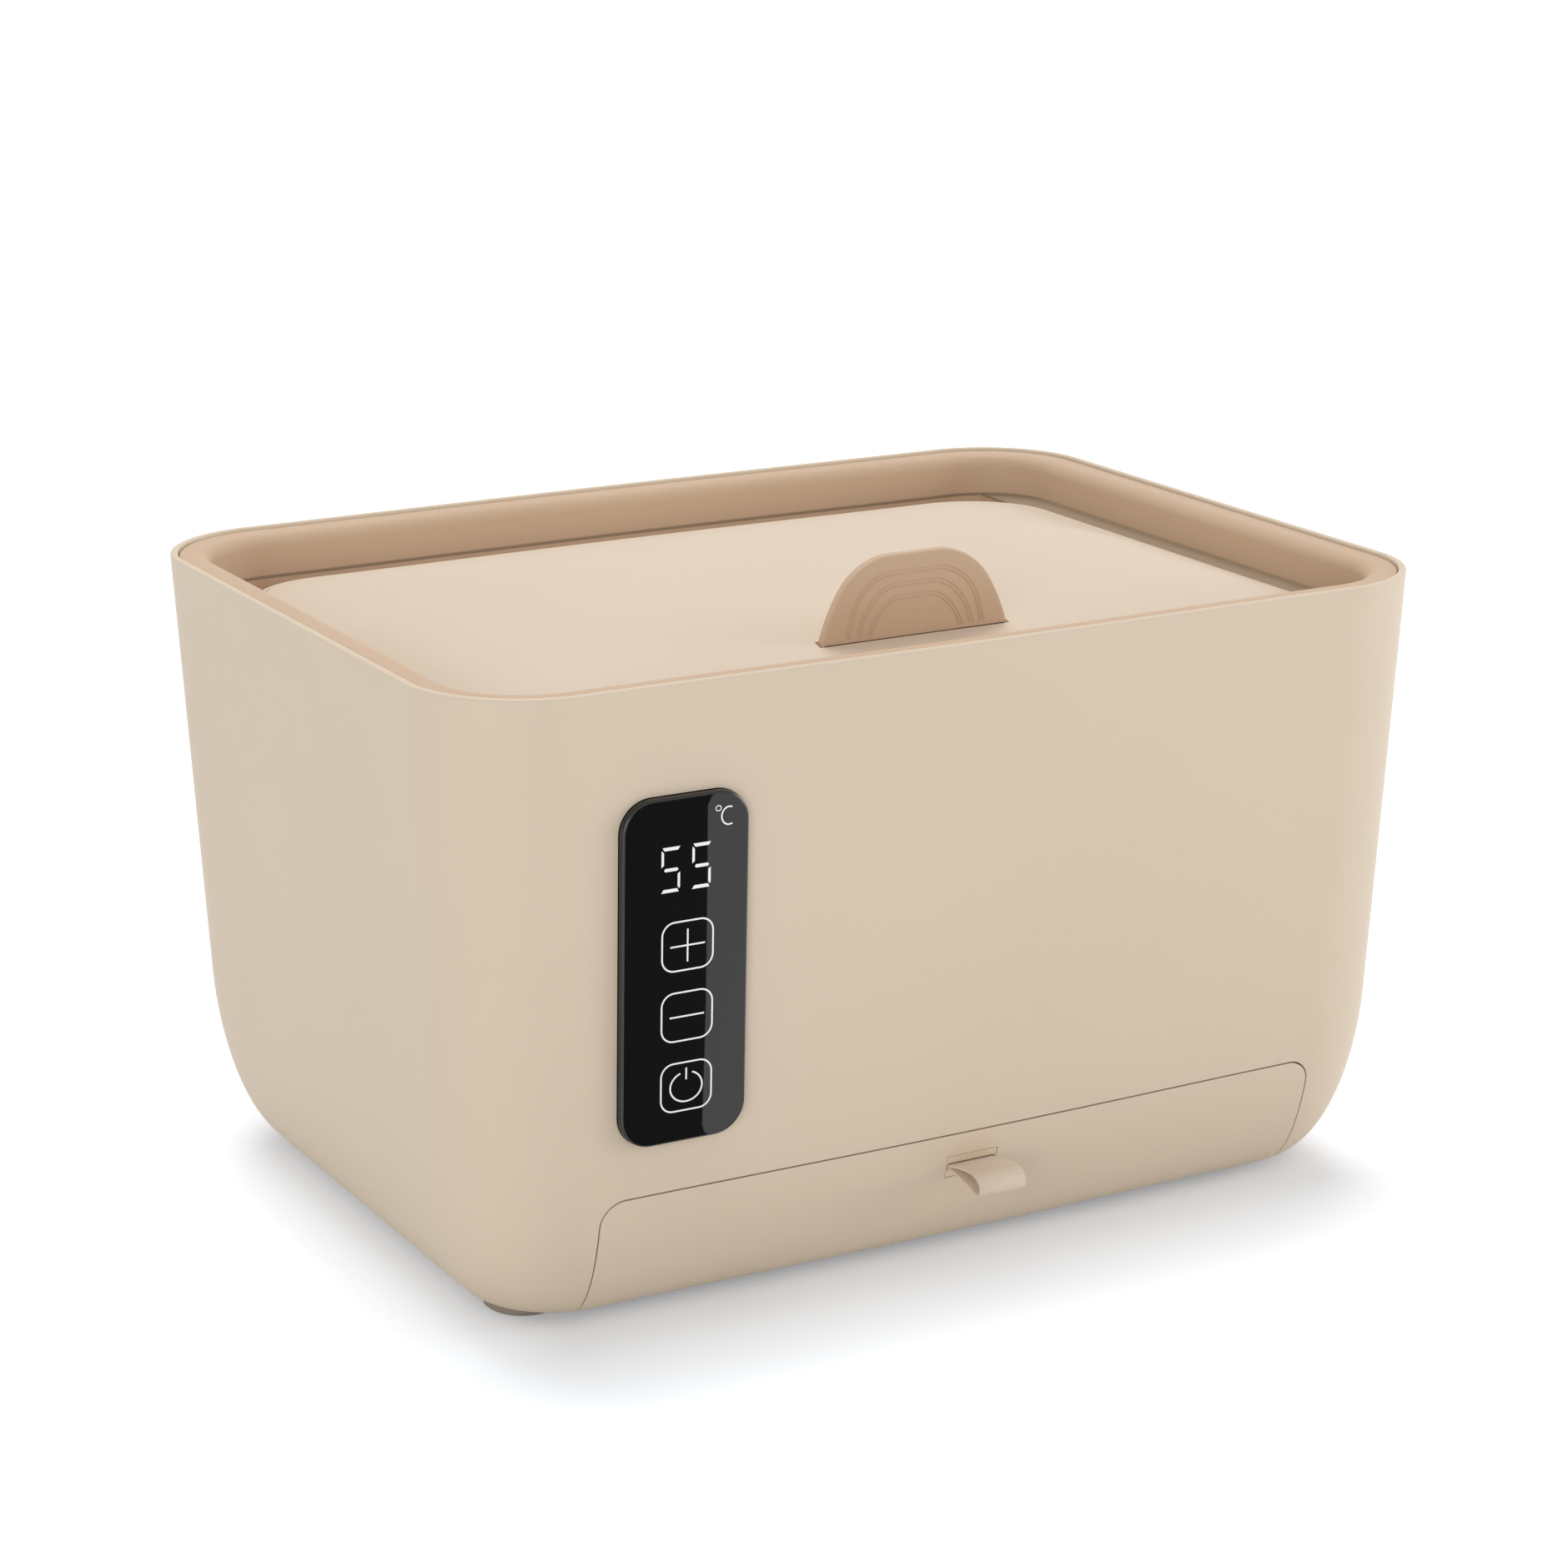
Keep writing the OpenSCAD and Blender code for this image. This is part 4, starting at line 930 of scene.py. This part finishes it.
def tabOutline(half):
    right = smoothPath(half, 4)
    return right + [(-x, h) for x, h in reversed(right)]


# Moves an open outline inwards; its foot keeps its height
def insetOutline(outline, d):
    made = []
    for i, (x, h) in enumerate(outline):
        (x0, h0), (x1, h1) = beside(outline, i)
        tx, th = x1 - x0, h1 - h0
        size = math.hypot(tx, th)
        made.append((x - d * th / size, h + d * tx / size if 0 < i < len(outline) - 1 else h))
    return made


def makeTab():
    outline = tabOutline(tab["half"])
    t, edge = tab["thick"] / 2, tab["edge"]
    rows = [(-t + edge * s, edge * c) for c, s in reversed(rounding(15))]
    rows += [(-y, d) for y, d in reversed(rows)]
    rings = [[(x, tabY + y, tabZ + h) for x, h in insetOutline(outline, d)] for y, d in rows]
    root = block("tabRoot", around(0, tab["rootHalf"]), around(tabY, t), (coverZ + 0.1, tabZ))
    foot = block("tabFoot", around(0, tab["footHalf"]), around(tabY, t + tab["footEdge"]),
                 (coverZ + 0.1, coverZ + 1.3))
    return joinPieces("pullTab", [skin("pullTab", rings, sharp=60), root, foot], 50)


arches = {
    "lines": [
        [(15.9, 0.9), (15.6, 2.8), (15.0, 5.0), (14.3, 7.0), (13.0, 9.4), (11.4, 11.1), (9.6, 12.3),
         (7.6, 13.1), (5.6, 13.45), (3.5, 13.5)],
        [(13.4, 0.9), (13.0, 2.8), (12.3, 4.6), (11.3, 6.4), (10.0, 8.1), (8.4, 9.5), (6.6, 10.5),
         (4.8, 10.95), (3.0, 11.0)],
        [(10.9, 0.9), (10.4, 2.4), (9.6, 4.0), (8.4, 5.7), (7.0, 7.0), (5.4, 7.95), (4.0, 8.35),
         (2.4, 8.45)]],
    "apart": 0.75, "radius": 0.11,
}


def makeArches():
    beads = []
    y = tabY - tab["thick"] / 2 - 0.02
    for line in arches["lines"]:
        for d in (0.0, arches["apart"]):
            points = [(x, y, tabZ + h) for x, h in insetOutline(tabOutline(line), d)]
            beads.append(bead("archLine", points, arches["radius"], 6, 60))
    return joinPieces("tabArches", beads, 60)


finishPiece(makeTab(), "lid", tabSilicone, "silicone", "pull_tab")
finishPiece(makeArches(), "lid", tabSilicone, "silicone")
print("tab made")

# Touch panel

marks = {
    "line": 0.33, "lift": 0.02, "keyWidth": 10.75, "keyHeight": 9.85, "keyRadius": 2.6, "keyX": 0.46,
    "plusY": 5.2, "minusY": -9.1, "powerY": -23.5, "digitX": (-3.25, 3.2), "digitY": 20.8,
    "barHalf": 3.65, "stemHalf": 3.3, "stemGap": 0.2, "powerArc": (3.4, 3.05, 112, 428),
    "powerStem": (1.35, 3.75), "degreeLine": 0.18, "letterLine": 0.3,
}


def makeGlass():
    w, h, r, top, edge = panel["width"], panel["height"], panel["radius"], panel["proud"], panel["edge"]
    rows = [(0, -panel["pocket"] + 0.2), (0, top - edge)]
    rows += [(edge * c, top - edge * s) for c, s in rounding(15, 1)]
    rings = [[tuple(onPanel @ Vector((x, y, z))) for x, y in roundedOutline(w - 2 * d, h - 2 * d, r - d, 18)]
             for d, z in rows]
    return skin("touchGlass", rings)


markLevels = (panel["proud"] - 0.01, panel["proud"] + marks["lift"])


# Flat bead of even width along points on the panel
def stroke(points, width, closed=False):
    low, high = markLevels
    rings = []
    for i, (x, y) in enumerate(points):
        (x0, y0), (x1, y1) = beside(points, i, closed)
        size = math.hypot(x1 - x0, y1 - y0)
        nx, ny = -(y1 - y0) / size * width / 2, (x1 - x0) / size * width / 2
        corners = [(x + nx, y + ny, low), (x + nx, y + ny, high), (x - nx, y - ny, high),
                   (x - nx, y - ny, low)]
        rings.append([tuple(onPanel @ Vector(corner)) for corner in corners])
    return skin("stroke", rings, looped=closed)


def arcPoints(x, y, rx, ry, start, stop, steps=40):
    turns = [start + (stop - start) * k / steps for k in range(steps + 1)]
    return [(x + rx * cosOf(t), y + ry * sinOf(t)) for t in turns]


# Segment polygons of a 5: top, upper left, middle, lower right, bottom
def digitFive(x, y):
    w, h, t = 1.95, 4.5, 0.68
    return [
        [(x - 1.35, y + h - t), (x - 1.75, y + h), (x + w, y + h), (x + w - 0.45, y + h - t)],
        [(x - w, y + h - 0.75), (x - w + 0.1, y + h - 0.55), (x - w + 0.5, y + h - 1.1),
         (x - w + 0.5, y + 1.0), (x - w, y + 0.6)],
        [(x - 1.4, y - 0.05), (x - 1.15, y + 0.32), (x + 1.3, y + 0.32), (x + 1.6, y + 0.0),
         (x + 1.3, y - 0.34), (x - 1.15, y - 0.34)],
        [(x + w - 0.5, y - 0.95), (x + w, y - 0.6), (x + w, y - h + 0.9), (x + w - 0.15, y - h + 0.6),
         (x + w - 0.5, y - h + 1.1)],
        [(x - w, y - h), (x - w + 0.45, y - h + t), (x + 1.35, y - h + t), (x + 1.7, y - h)],
    ]


def makeMarks():
    line, x, bar = marks["line"], marks["keyX"], marks["barHalf"]
    plus, minus, power = marks["plusY"], marks["minusY"], marks["powerY"]
    gap, stem = marks["stemGap"], marks["stemHalf"]
    key = roundedOutline(marks["keyWidth"], marks["keyHeight"], marks["keyRadius"], 8)
    shapes = [stroke([(px + x, py + y) for px, py in key], line, closed=True) for y in (plus, minus, power)]
    shapes += [stroke(points, line) for points in (
        [(x - bar, plus), (x + bar, plus)], [(x - bar, minus), (x + bar, minus)],
        [(x, plus - stem), (x, plus - gap)], [(x, plus + gap), (x, plus + stem)],
        arcPoints(x, power - 0.1, *marks["powerArc"]), [(x, power + end) for end in marks["powerStem"]])]
    degree = arcPoints(6.65, 31.55, 0.55, 0.52, 0, 360, 20)[:-1]
    shapes.append(stroke(degree, marks["degreeLine"], closed=True))
    letter = [(9.55, 31.5), (9.0, 31.62)] + arcPoints(8.95, 29.85, 1.6, 1.78, 95, 265, 16) + [(9.6, 28.2)]
    shapes.append(stroke(letter, marks["letterLine"]))
    shapes += [prism("digit", outline, *markLevels, onPanel) for centre in marks["digitX"]
               for outline in digitFive(centre, marks["digitY"])]
    return joinPieces("panelMarks", shapes)


finishPiece(makeGlass(), "housing", panelBlack, "panel_glass", "touch_glass")
finishPiece(makeMarks(), "housing", printWhite, "panel_glass")
print("touch panel made")

# Finishes of the frame's own nodes

screws = [part + "_screws" for part in ("base", "flange", "retainer", "clip", "board", "lid", "drawer")]
nodeFinish = [
    (footRubberShadeDark, ["feet"]), (innerPlastic, ["drawer_sleeve", "drawer_tray"]),
    (milkyPlastic, ["glide_strips", "light_guide"]), (boardGreen, ["touch_board", "control_board"]),
    (darkFoam, ["panel_tape"]), (darkPlastic, ["panel_clip", "board_parts", "power_socket"]),
    (sheetMetal, ["heater_plate"]), (amberFilm, ["heater_film"]), (paleFelt, ["insulation_pad"]),
    (glazed, ["temperature_sensor", "thermal_fuse"]), (sealSilicone, ["lid_gasket"]),
    (sheath, ["panel_ribbon", "power_leads", "heater_leads"]),
    (zincSteel, ["heater_retainer", "hinge_pins"] + screws),
]
for material, names in nodeFinish:
    for name in names:
        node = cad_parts[name]
        node.data.materials.clear()
        node.data.materials.append(material)
print("nodes finished")

# Studio

studio = {
    "dome": 0.45, "floorTone": (0.835, 0.85, 0.87, 1.0),
    "topStrength": 1.35, "topSpread": 42.0, "topFrom": (0.14, 0.46, 1.0),  # from above and behind
    "boxSize": 1.2, "boxAim": (0, 0, 0.06), "leftPower": 14.1, "leftPlace": (-1.82, -1.64, 0.58),
    "rightPower": 19.5, "rightPlace": (2.3, -0.84, 0.58),
    # Painted shadow: the lift values make the floor's glow weaker in a field round the foot, a painted
    # contact shadow on top of the lamps' real one, tinted cool by liftTone
    "liftX": (-0.088, 0.092), "liftY": (-0.072, 0.08),  # the floor's darker field round the foot, in metres
    "liftNear": 0.21, "liftFar": 0.72, "liftReach": 0.06, "liftTone": (0.94, 1.0, 1.07, 1.0),
}


def addLamp(name, kind, power):
    data = bpy.data.lights.new(name, kind)
    data.energy = power
    return placeObject(name, data)


def softBox(name, place, power):
    lamp = addLamp(name, "AREA", power)
    lamp.data.shape = "SQUARE"
    lamp.data.size = studio["boxSize"]
    lamp.location = place
    lamp.rotation_euler = (Vector(studio["boxAim"]) - Vector(place)).to_track_quat("-Z", "Y").to_euler()


topLight = addLamp("topLight", "SUN", studio["topStrength"])
topLight.data.angle = math.radians(studio["topSpread"])
topLight.rotation_euler = Vector(studio["topFrom"]).to_track_quat("Z", "Y").to_euler()
softBox("leftBox", studio["leftPlace"], studio["leftPower"])
softBox("rightBox", studio["rightPlace"], studio["rightPower"])


# 1 for the rays that show a thing: from the camera, by a reflection or through a clear body
def shownRays(tree):
    rays = tree.nodes.new("ShaderNodeLightPath").outputs
    return mathNode(tree, "MAXIMUM", rays["Is Camera Ray"],
                    mathNode(tree, "MAXIMUM", rays["Is Glossy Ray"], rays["Is Transmission Ray"]))


world = bpy.data.worlds.new("studioWorld")
bpy.context.scene.world = world
world.use_nodes = True
worldTree = world.node_tree
worldTree.nodes.clear()
plainWhite = (1.0, 1.0, 1.0, 1.0)
dome = addNode(worldTree, "Background", {"Color": plainWhite, "Strength": studio["dome"]})
white = addNode(worldTree, "Background", {"Color": plainWhite, "Strength": 1.0})
choose = addNode(worldTree, "MixShader", {0: shownRays(worldTree), 1: dome.outputs[0], 2: white.outputs[0]})
addNode(worldTree, "OutputWorld", {"Surface": choose.outputs[0]})


def emptyMaterial(name):
    material = bpy.data.materials.new(name)
    material.use_nodes = True
    material.node_tree.nodes.clear()
    return material, material.node_tree


# One flat face with corners in metres
def plate(name, corners, material):
    mesh = bpy.data.meshes.new(name)
    mesh.from_pydata(corners, [], [(0, 1, 2, 3)])
    mesh.materials.append(material)
    return placeObject(name, mesh)


# White floor: lit as it is, and lifted to white away from the foot for the rays that show it; a weaker lift
# near the foot paints a darker shadow field round it
def makeFloor():
    material, tree = emptyMaterial("floor white")
    axes = objectAxes(tree)
    squares = []
    for label, (low, high) in (("X", studio["liftX"]), ("Y", studio["liftY"])):
        aside = mathNode(tree, "ABSOLUTE", mathNode(tree, "SUBTRACT", axes[label], (low + high) / 2))
        outside = mathNode(tree, "MAXIMUM", mathNode(tree, "SUBTRACT", aside, (high - low) / 2), 0.0)
        squares.append(mathNode(tree, "POWER", outside, 2.0))
    away = mathNode(tree, "SQRT", mathNode(tree, "ADD", *squares))
    # Painted shadow: the glow rises from liftNear at the foot to liftFar beyond liftReach
    level = spread(tree, away, 0.0, studio["liftReach"], studio["liftNear"], studio["liftFar"])
    lift = addNode(tree, "Emission", {"Color": studio["liftTone"],
                                      "Strength": mathNode(tree, "MULTIPLY", shownRays(tree), level)})
    tone = addNode(tree, "BsdfDiffuse", {"Color": studio["floorTone"]})
    both = addNode(tree, "AddShader", {0: tone.outputs[0], 1: lift.outputs[0]})
    addNode(tree, "OutputMaterial", {"Surface": both.outputs[0]})
    floor = plate("studioFloor", [(-6, -6, 0), (6, -6, 0), (6, 6, 0), (-6, 6, 0)], material)


makeFloor()

# Two cards close in front of the touch panel, seen only in reflections
cards = {
    "away": 22.0, "edgeLow": -48.8, "edgeHigh": -52.7, "left": -76.0, "right": -36.0,
    "low": 12.0, "high": 112.0, "darkTone": 0.05, "brightTone": 1.3,
}


def makeCard(name, lowX, highX, tone):
    material, tree = emptyMaterial(name + " tone")
    glow = addNode(tree, "Emission", {"Strength": tone})
    addNode(tree, "OutputMaterial", {"Surface": glow.outputs[0]})
    y = middleY - halfDepth(panelZ) - cards["away"]
    corners = [(lowX[0], y, cards["low"]), (lowX[1], y, cards["low"]),
               (highX[1], y, cards["high"]), (highX[0], y, cards["high"])]
    card = plate(name, [tuple(value / 1000 for value in corner) for corner in corners], material)
    card.visible_camera = False
    card.visible_diffuse = False
    card.visible_shadow = False
    card.visible_transmission = False


edgeLow, edgeHigh = cards["edgeLow"], cards["edgeHigh"]
makeCard("darkCard", (cards["left"], edgeLow), (cards["left"], edgeHigh), cards["darkTone"])
makeCard("brightCard", (edgeLow, cards["right"]), (edgeHigh, cards["right"]), cards["brightTone"])

bpy.context.scene.view_settings.view_transform = "Standard"
print("studio made")
